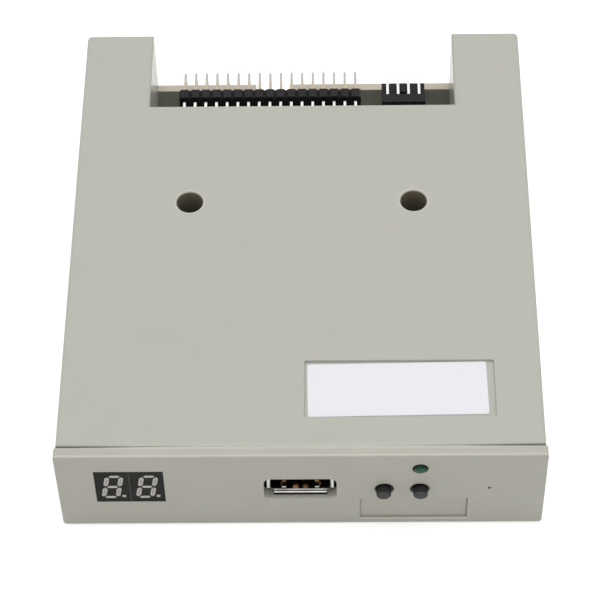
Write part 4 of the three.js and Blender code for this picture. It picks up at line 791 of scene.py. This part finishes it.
def led_resin():
    """Dark green cast resin: paler in the middle, where its cup shows through, and darker towards its rim
    with painted shade from the hole round it.
    """
    s = Surface("led_resin", Specular_IOR_Level=0.14, Roughness=0.1)
    off = s.distance(s.offset(s.axis("X"), LED_X * MM), s.offset(s.axis("Z"), LED_HEIGHT * MM))
    start, end = LED_RIM
    # Painted shade of the hole, darkening the lens towards its rim.
    rim = s.ranged(off, 0, 1, start * MM, end * MM)
    streak = s.ranged(s.noise(0.5, 2, (0.5, 1, 1.6)), 0, 1, start=0.4, end=0.6)
    s.colour(s.blend(rim, s.blend(streak, "28684a", "164530"), "0d2318"))
    s.relief(s.noise(0.8, 1), 0.004)
    return s.material


def make_materials():
    return {
        "housing": housing_plastic(),
        "bezel": bezel_plastic(),
        "paper": paper(),
        "socket_steel": socket_metal(),
        "steel": metal("plated_steel", "d4d3d0", "b6b5b2", (0.08, 0.18), (0.25, 1, 1)),
        "tinned": metal("tinned_wire", "d2d0cb", "b9b6af", (0.18, 0.32), (1, 0.2, 1), 0.4),
        "gilt": metal("gilt_spring", "b08a66", "7c5a46", (0.2, 0.34), (0.3, 1, 1), 0.4),
        "can": metal("drawn_can", "b4b6b8", "9d9fa1", (0.26, 0.42), (1, 1, 0.3), 0.6),
        "ribbon_wire": wire_metal("ribbon_wire", "cbb28c", "c3c0bb", RIBBON_FADE, RIBBON_SHADE),
        "power_wire": wire_metal("power_wire", "f6f5f1", "f4f2ee", POWER_FADE),
        "black": black_plastic(),
        "display_black": display_plastic(),
        "button_black": button_plastic(),
        "board": circuit_board("board_mask", "1d5a33", "174a2a"),
        "dark_board": circuit_board("dark_board_mask", "1c211e", "141816"),
        "track": copper_under_mask(),
        "resin": segment_resin(),
        "lens": led_resin(),
    }


# Mesh helpers

SMOOTH_ANGLE = math.radians(35)
BEVEL_ANGLE = math.radians(40)


def finish_piece(name, mesh, material, body="housing", bevel=0.0, segments=2):
    """Puts a mesh into the scene as one piece of the drive."""
    mesh.materials.clear()
    mesh.materials.append(material)
    mesh.update()
    for face in mesh.polygons:
        face.use_smooth = True
    mesh.set_sharp_from_angle(angle=SMOOTH_ANGLE)
    obj = bpy.data.objects.new(name, mesh)
    bpy.context.scene.collection.objects.link(obj)
    if bevel:
        edge = obj.modifiers.new("edges", "BEVEL")
        edge.width = bevel * MM
        edge.segments = segments
        edge.limit_method = "ANGLE"
        edge.angle_limit = BEVEL_ANGLE
        edge.harden_normals = True
    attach(obj, body)
    return obj


def merged(name, parts):
    """One mesh of many closed forms, each given as (points, faces)."""
    points, faces = [], []
    for part_points, part_faces in parts:
        base = len(points)
        points += [place(*p) for p in part_points]
        faces += [tuple(base + i for i in face) for face in part_faces]
    mesh = bpy.data.meshes.new(name)
    mesh.from_pydata(points, [], faces)
    work = bmesh.new()
    work.from_mesh(mesh)
    bmesh.ops.recalc_face_normals(work, faces=work.faces)
    work.to_mesh(mesh)
    work.free()
    return mesh


def prism(outline, start, end, axis):
    """An outline pushed along an axis. It is drawn in the other two, in the order x, depth, height."""
    def point(a, b, along):
        return {"x": (along, a, b), "depth": (a, along, b), "height": (a, b, along)}[axis]
    count = len(outline)
    points = [point(a, b, start) for a, b in outline] + [point(a, b, end) for a, b in outline]
    sides = [(i, (i + 1) % count, count + (i + 1) % count, count + i) for i in range(count)]
    return points, sides + [tuple(range(count)), tuple(range(count, 2 * count))]


def block(left, right, front, rear, low, high):
    return prism([(left, front), (right, front), (right, rear), (left, rear)], low, high, "height")


def tube(outer, inner, front, rear):
    """A sheet bent round between two outlines of (x, height), which have as many points each."""
    count = len(outer)
    points = [(x, depth, z) for depth in (front, rear) for ring in (outer, inner) for x, z in ring]
    faces = []
    for i in range(count):
        j = (i + 1) % count
        faces.append((i, j, 2 * count + j, 2 * count + i))
        faces.append((count + j, count + i, 3 * count + i, 3 * count + j))
        faces.append((j, i, count + i, count + j))
        faces.append((2 * count + i, 2 * count + j, 3 * count + j, 3 * count + i))
    return points, faces


def turned(profile, sides, x, height=None, depth=None):
    """A profile of (radius, along), turned about an axis.

    The axis runs in depth where a height is given, and upright where a depth is given.
    """
    points, faces = [], []
    rings = []
    for radius, along in profile:
        steps = 1 if radius == 0 else sides
        ring = []
        for i in range(steps):
            turn = 2 * math.pi * i / sides
            a, b = radius * math.cos(turn), radius * math.sin(turn)
            points.append((x + a, along, height + b) if depth is None else (x + a, depth + b, along))
            ring.append(len(points) - 1)
        rings.append(ring)
    for first, second in zip(rings, rings[1:]):
        for i in range(sides):
            j = i + 1
            corners = [first[i % len(first)], first[j % len(first)], second[j % len(second)],
                       second[i % len(second)]]
            face = tuple(dict.fromkeys(corners))
            if len(face) > 2:
                faces.append(face)
    return points, faces


def arc(centre, radius, start, end, steps):
    """Points on a circle, from one angle to another in degrees."""
    angles = [math.radians(start + (end - start) * i / steps) for i in range(steps + 1)]
    return [(centre[0] + radius * math.cos(a), centre[1] + radius * math.sin(a)) for a in angles]


def rounded(left, right, low, high, radius, steps=6):
    """A rectangle's outline with round corners."""
    corners = [((right - radius, low + radius), -90), ((right - radius, high - radius), 0),
               ((left + radius, high - radius), 90), ((left + radius, low + radius), 180)]
    return [p for centre, start in corners for p in arc(centre, radius, start, start + 90, steps)]


def thickened(line, sheet, inner=0.5):
    """A closed outline round a line. The inner share of the sheet's thickness lies on the line's left."""
    near, far = [], []
    for i, point in enumerate(line):
        before, after = line[max(i - 1, 0)], line[min(i + 1, len(line) - 1)]
        run = Vector((after[0] - before[0], after[1] - before[1])).normalized()
        left = Vector((-run.y, run.x)) * sheet
        near.append((point[0] + left.x * inner, point[1] + left.y * inner))
        far.append((point[0] - left.x * (1 - inner), point[1] - left.y * (1 - inner)))
    return near + far[::-1]


def carve(obj, cutter):
    """Takes the cutter's form out of obj, and removes the cutter."""
    cut = obj.modifiers.new("cut", "BOOLEAN")
    cut.operation = "DIFFERENCE"
    cut.solver = "EXACT"
    cut.object = cutter
    bpy.context.view_layer.update()
    made = bpy.data.meshes.new_from_object(obj.evaluated_get(bpy.context.evaluated_depsgraph_get()))
    obj.modifiers.remove(cut)
    obj.data = made
    bpy.data.objects.remove(cutter)


# Label

def label_point(i, j, top):
    """One corner of the sheet's grid, on its lower or upper side."""
    half_x, half_y = (size / 2 for size in LABEL_SIZE)
    x = (2 * i / LABEL_GRID[0] - 1) * half_x
    y = (2 * j / LABEL_GRID[1] - 1) * half_y
    over = min(abs(x) - (half_x - LABEL_CORNER), abs(y) - (half_y - LABEL_CORNER))
    if over > 0:
        pull = (1 - 1 / math.sqrt(2)) * over
        x -= math.copysign(pull, x)
        y -= math.copysign(pull, y)
    edge = max(abs(x) / half_x, abs(y) / half_y) ** BUCKLE_STEEPNESS
    wave = 0.5 + 0.5 * math.sin(x * BUCKLE_WAVES[0] + BUCKLE_START) * math.cos(y * BUCKLE_WAVES[1])
    height = LABEL_LOW + top * (LABEL_THICKNESS + BUCKLE * edge * wave)
    return (LABEL_CENTRE[0] + x * math.cos(LABEL_TURN) - y * math.sin(LABEL_TURN),
            LABEL_CENTRE[1] + x * math.sin(LABEL_TURN) + y * math.cos(LABEL_TURN), height)


def make_label(material):
    """A bare paper sheet that lies in the recess, its edges buckling up by a hair."""
    columns, rows = LABEL_GRID
    points = [label_point(i, j, top) for top in (0, 1) for j in range(rows + 1)
              for i in range(columns + 1)]
    size = len(points) // 2
    across = columns + 1
    faces = []
    for j in range(rows):
        for i in range(columns):
            a = j * across + i
            quad = (a, a + 1, a + 1 + across, a + across)
            faces += [quad[::-1], tuple(size + k for k in quad)]
    rim = list(range(columns)) + [columns + j * across for j in range(rows)]
    rim += [rows * across + i for i in range(columns, 0, -1)] + [j * across for j in range(rows, 0, -1)]
    for a, b in zip(rim, rim[1:] + rim[:1]):
        faces.append((a, b, size + b, size + a))
    label = finish_piece("label_sheet", merged("label_sheet", [(points, faces)]), material)
    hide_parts("cover_label")


# Buttons and indicator

def make_buttons(material):
    """Turned plungers with a barely crowned face and a rounded rim."""
    front = -BUTTON_PROUD
    flat = BUTTON_RADIUS - BUTTON_EDGE
    steps = [i / CROWN_RINGS for i in range(CROWN_RINGS + 1)]
    crown = [(flat * step, front + BUTTON_CROWN * step ** 2) for step in steps]
    angles = [math.radians(a) for a in range(RIM_STEP, 91, RIM_STEP)]
    rim = [(flat + BUTTON_EDGE * math.sin(a),
            front + BUTTON_CROWN + (BUTTON_EDGE - BUTTON_CROWN) * (1 - math.cos(a))) for a in angles]
    body = [(BUTTON_RADIUS, COLLAR_FRONT), (COLLAR_RADIUS, COLLAR_FRONT), (COLLAR_RADIUS, COLLAR_BACK),
            (BUTTON_RADIUS, COLLAR_BACK), (BUTTON_RADIUS, BUTTON_BACK), (0, BUTTON_BACK)]
    for side, x in BUTTONS.items():
        mesh = merged(f"plunger_{side}", [turned(crown + rim + body, BUTTON_SIDES, x, BUTTON_HEIGHT)])
        plunger = finish_piece(f"plunger_{side}", mesh, material, f"button_{side}")
        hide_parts(f"button_{side}")


def make_indicator(material):
    """A round lens with a domed front and a flange behind the bezel."""
    dome = arc((0, LED_FRONT + LED_RADIUS), LED_RADIUS, -90, 0, LED_RINGS)
    dome[0] = (0, LED_FRONT)
    body = [(LED_RADIUS, LED_SHOULDER), (LED_FLANGE, LED_SHOULDER), (LED_FLANGE, LED_REAR), (0, LED_REAR)]
    mesh = merged("indicator_dome", [turned(dome + body, LED_SIDES, LED_X, LED_HEIGHT)])
    lens = finish_piece("indicator_dome", mesh, material)
    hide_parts("led_lens")


# Memory stick socket

def make_socket(material):
    """The shell's tube with four flared lips, two leaves above and two below, and its legs."""
    left, right = SOCKET_X - SOCKET_HALF, SOCKET_X + SOCKET_HALF
    low, high = SOCKET_HEIGHT - SOCKET_RISE, SOCKET_HEIGHT + SOCKET_RISE
    outer = rounded(left, right, low, high, SOCKET_CORNER)
    inner = rounded(left + SOCKET_SHEET, right - SOCKET_SHEET, low + SOCKET_SHEET, high - SOCKET_SHEET,
                    SOCKET_CORNER - SOCKET_SHEET)
    parts = [tube(outer, inner, SOCKET_TUBE_FRONT, SOCKET_REAR)]
    half_sheet, half_leg, half_leaf = SOCKET_SHEET / 2, LEG_WIDTH / 2, LEAF_WIDTH / 2
    for way in (-1, 1):
        lip = [(depth, SOCKET_HEIGHT + way * (SOCKET_RISE - SOCKET_SHEET + away)) for depth, away in
               thickened(LIP_LINE, SOCKET_SHEET, 0)]
        parts.append(prism(lip, SOCKET_X - LIP_HALF, SOCKET_X + LIP_HALF, "x"))
        side = [(SOCKET_X + way * (SOCKET_HALF - SOCKET_SHEET + away), depth) for depth, away in
                thickened(SIDE_LIP_LINE, SOCKET_SHEET, 0)]
        parts.append(prism(side, SOCKET_HEIGHT - SIDE_LIP_HALF, SOCKET_HEIGHT + SIDE_LIP_HALF, "height"))
        wall = SOCKET_X + way * (SOCKET_HALF - half_sheet)
        for depth in LEG_PLACES:
            parts.append(block(wall - half_sheet, wall + half_sheet, depth - half_leg, depth + half_leg,
                               LEG_LOW, SOCKET_HEIGHT))
        leaf = [(depth, SOCKET_HEIGHT + way * away) for depth, away in thickened(LEAF_LINE, LEAF_SHEET)]
        for x in (SOCKET_X - LEAF_X, SOCKET_X + LEAF_X):
            parts.append(prism(leaf, x - half_leaf, x + half_leaf, "x"))
    shell = finish_piece("socket_shell", merged("socket_shell", parts), material, bevel=0.03)
    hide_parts("usb_shell")


def make_contacts(material):
    """Four formed springs: a tail through the board, a straight run and a crest at the tongue's tip."""
    for i, (shift, crest) in enumerate(CONTACTS):
        line = [(CONTACT_TAIL, CONTACT_LOW), (CONTACT_TAIL, CONTACT_LEVEL - CONTACT_BEND),
                (CONTACT_TAIL - CONTACT_EASE, CONTACT_LEVEL - CONTACT_EASE),
                (CONTACT_TAIL - CONTACT_BEND, CONTACT_LEVEL)]
        line += [(crest + behind, CONTACT_LEVEL - CREST_DROP * share) for behind, share in CREST_LINE]
        line.append((crest + CREST_TIP[0], CONTACT_LEVEL + CREST_TIP[1]))
        left = SOCKET_X + shift - CONTACT_WIDTH / 2
        strip = prism(thickened(line, CONTACT_SHEET), left, left + CONTACT_WIDTH, "x")
        name = f"contact_spring_{i + 1}"
        spring = finish_piece(name, merged(name, [strip]), material, bevel=0.04)
        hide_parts(f"usb_contact_{i + 1}")


# Rear headers

def wire_profile(tip, leg, height):
    """The side view of a bent pin: (depth, height) round it, with a rounded bend and a drawn point."""
    half = PIN / 2
    centre = (leg + PIN_BEND, height - PIN_BEND)
    bend_out = arc(centre, PIN_BEND + half, 180, 90, BEND_STEPS)
    bend_in = arc(centre, PIN_BEND - half, 90, 180, BEND_STEPS)
    point = [(tip - PIN_TAPER, height + half), (tip - PIN_POINT, height + PIN_TIP / 2), (tip, height),
             (tip - PIN_POINT, height - PIN_TIP / 2), (tip - PIN_TAPER, height - half)]
    return [(leg - half, TAIL_LOW)] + bend_out + point + bend_in + [(leg + half, TAIL_LOW)]


def bent_wire(x, tip, leg, height):
    """A square wire whose end is drawn to a point in both directions."""
    points, faces = prism(wire_profile(tip, leg, height), x - PIN / 2, x + PIN / 2, "x")
    narrow = []
    for px, depth, z in points:
        share = min(max((depth - (tip - PIN_TAPER)) / PIN_TAPER, 0), 1)
        narrow.append((x + (px - x) * (1 - share * (1 - PIN_TIP / PIN)), depth, z))
    return narrow, faces


def nicked_block():
    """The ribbon block seen from the rear: a row of cells with a nick between them above and below."""
    low, high = BLOCK_LOW, BLOCK_LOW + 2 * PITCH
    left = RIBBON_FIRST_X - PITCH / 2
    top, bottom = [], []
    for i in range(RIBBON_PLACES):
        start, end = left + i * PITCH, left + (i + 1) * PITCH
        for line, edge, inward in ((top, high, -NICK), (bottom, low, NICK)):
            line += [(start, edge + inward), (start + NICK, edge), (end - NICK, edge)]
    right = left + RIBBON_PLACES * PITCH
    top.append((right, high - NICK))
    bottom.append((right, low + NICK))
    return bottom + top[::-1]


def make_ribbon_header(plastic, pins):
    """The nicked block, and its two rows of bent pins as one piece."""
    mesh = merged("ribbon_block", [prism(nicked_block(), BLOCK_FRONT, BLOCK_REAR, "depth")])
    block_piece = finish_piece("ribbon_block", mesh, plastic, bevel=0.06)
    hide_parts("ribbon_header")
    wires = []
    for row, leg in enumerate(RIBBON_LEGS):
        height = BLOCK_LOW + (row + 0.5) * PITCH
        for i in range(RIBBON_PLACES):
            wires.append(bent_wire(RIBBON_FIRST_X + i * PITCH, RIBBON_TIP, leg, height))
    finish_piece("ribbon_pins", merged("ribbon_pins", wires), pins, bevel=0.04, segments=1)


def make_power_pins(material):
    """Four bent pins, each a piece of its own."""
    for i in range(POWER_PLACES):
        wire = bent_wire(POWER_FIRST_X + i * POWER_PITCH, POWER_TIP, POWER_LEG, POWER_HEIGHT)
        name = f"power_wire_{i + 1}"
        pin = finish_piece(name, merged(name, [wire]), material, bevel=0.04, segments=1)
        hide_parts(f"power_pin_{i + 1}")


# Solder and tracks round the headers' legs

def leg_places():
    """The (x, depth) of every leg: both rows of the ribbon header, then the power header."""
    ribbon = [(RIBBON_FIRST_X + i * PITCH, leg) for leg in RIBBON_LEGS for i in range(RIBBON_PLACES)]
    power = [(POWER_FIRST_X + i * POWER_PITCH, POWER_LEG) for i in range(POWER_PLACES)]
    return ribbon + power


def make_solder(material):
    """A hollow cone of solder round each leg, on top of the board."""
    cone = [(SOLDER_BORE, BOARD_TOP)] + [(r, BOARD_TOP + h) for r, h in SOLDER_PROFILE]
    cone.append((SOLDER_BORE, BOARD_TOP + SOLDER_PROFILE[-1][1]))
    joints = [turned(cone + cone[:1], SOLDER_SIDES, x, depth=depth) for x, depth in leg_places()]
    mesh = merged("solder_joints", joints)
    work = bmesh.new()
    work.from_mesh(mesh)
    bmesh.ops.remove_doubles(work, verts=work.verts, dist=WELD_DISTANCE * MM)
    work.to_mesh(mesh)
    work.free()
    finish_piece("solder_joints", mesh, material)


def make_tracks(material):
    """Flat tracks that run forward from the legs and go under the cover.

    Every power leg and every other ribbon leg has one. Those of the ribbon's front row run straight, and
    the others first step aside.
    """
    strips = []
    high = BOARD_TOP + TRACK_THICKNESS
    half = TRACK_WIDTH / 2
    for n, (x, depth) in enumerate(leg_places()):
        if n % 2 and depth != POWER_LEG:
            continue
        jog = 0.0 if depth == RIBBON_LEGS[1] else PITCH / 2
        start = depth - TRACK_START
        front = start - jog
        if jog:
            slant = [(x - half, start), (x + half, start),
                     (x + jog + half, front), (x + jog - half, front)]
            strips.append(prism(slant, BOARD_TOP, high, "height"))
        strips.append(block(x + jog - half, x + jog + half, TRACK_END, front, BOARD_TOP, high))
    finish_piece("board_tracks", merged("board_tracks", strips), material)


# Screws at the bottom of the wells

def cross_arm(x, half_x, half_depth):
    """A cutter for one arm of the cross, whose foot is drawn in from its mouth."""
    crown = SCREW_SEAT + SCREW_HEAD[-1][1]
    foot_x, foot_depth = min(half_x, CROSS_FOOT), min(half_depth, CROSS_FOOT)
    points = [(x + i * half_x, WELL_DEPTH + j * half_depth, crown + CROSS_CLEAR) for i, j in CORNERS]
    points += [(x + i * foot_x, WELL_DEPTH + j * foot_depth, crown - CROSS_DEPTH) for i, j in CORNERS]
    faces = [(0, 1, 2, 3), (7, 6, 5, 4), (0, 4, 5, 1), (1, 5, 6, 2), (2, 6, 7, 3), (3, 7, 4, 0)]
    cutter = bpy.data.objects.new("cutter", merged("cutter", [(points, faces)]))
    bpy.context.scene.collection.objects.link(cutter)
    return cutter


def make_screws(material):
    """Pan heads with a cross recess that tapers down, on a plain shank."""
    profile = [(0, SCREW_END), (SCREW_TIP, SCREW_END), (SCREW_SHANK, SCREW_END + SCREW_TAPER),
               (SCREW_SHANK, SCREW_SEAT)]
    profile += [(r, SCREW_SEAT + h) for r, h in SCREW_HEAD]
    for side, x in (("left", -WELL_X), ("right", WELL_X)):
        mesh = merged(f"pan_screw_{side}", [turned(profile, SCREW_SIDES, x, depth=WELL_DEPTH)])
        screw = finish_piece(f"pan_screw_{side}", mesh, material)
        carve(screw, cross_arm(x, CROSS_LONG, CROSS_THIN))
        carve(screw, cross_arm(x, CROSS_THIN, CROSS_LONG))
        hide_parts(f"case_screw_{side}")


# Finishes of the CAD solids

FINISHES = {
    "housing": ["top_cover", "base_tray"],
    "bezel": ["front_bezel"],
    "board": ["main_board"],
    "dark_board": ["display_board"],
    "black": ["power_header", "usb_tongue", "display_link", "display_driver", "switch_body_left",
              "switch_body_right", "processor", "regulator", "logic_chip_1", "logic_chip_2",
              "select_header", "jumper_cap", "service_header"],
    "display_black": ["digit_housing_left", "digit_housing_right"],
    "resin": ["digit_resin_left", "digit_resin_right"],
    "steel": ["switch_frame_left", "switch_frame_right"],
    "tinned": ["led_lead_left", "led_lead_right"],
    "can": ["crystal", "capacitor_1", "capacitor_2"],
}


def dress_nodes(materials):
    """Gives the CAD solids that stay visible their materials."""
    for finish, names in FINISHES.items():
        for name in names:
            mesh = nodes[name].data
            mesh.materials.clear()
            mesh.materials.append(materials[finish])


make_camera()
make_world()
make_lamps()
make_floor()
materials = make_materials()
dress_nodes(materials)
make_label(materials["paper"])
make_buttons(materials["button_black"])
make_indicator(materials["lens"])
make_socket(materials["socket_steel"])
make_contacts(materials["gilt"])
make_ribbon_header(materials["black"], materials["ribbon_wire"])
make_power_pins(materials["power_wire"])
make_solder(materials["tinned"])
make_tracks(materials["track"])
make_screws(materials["steel"])
bpy.context.scene.view_settings.view_transform = "Standard"
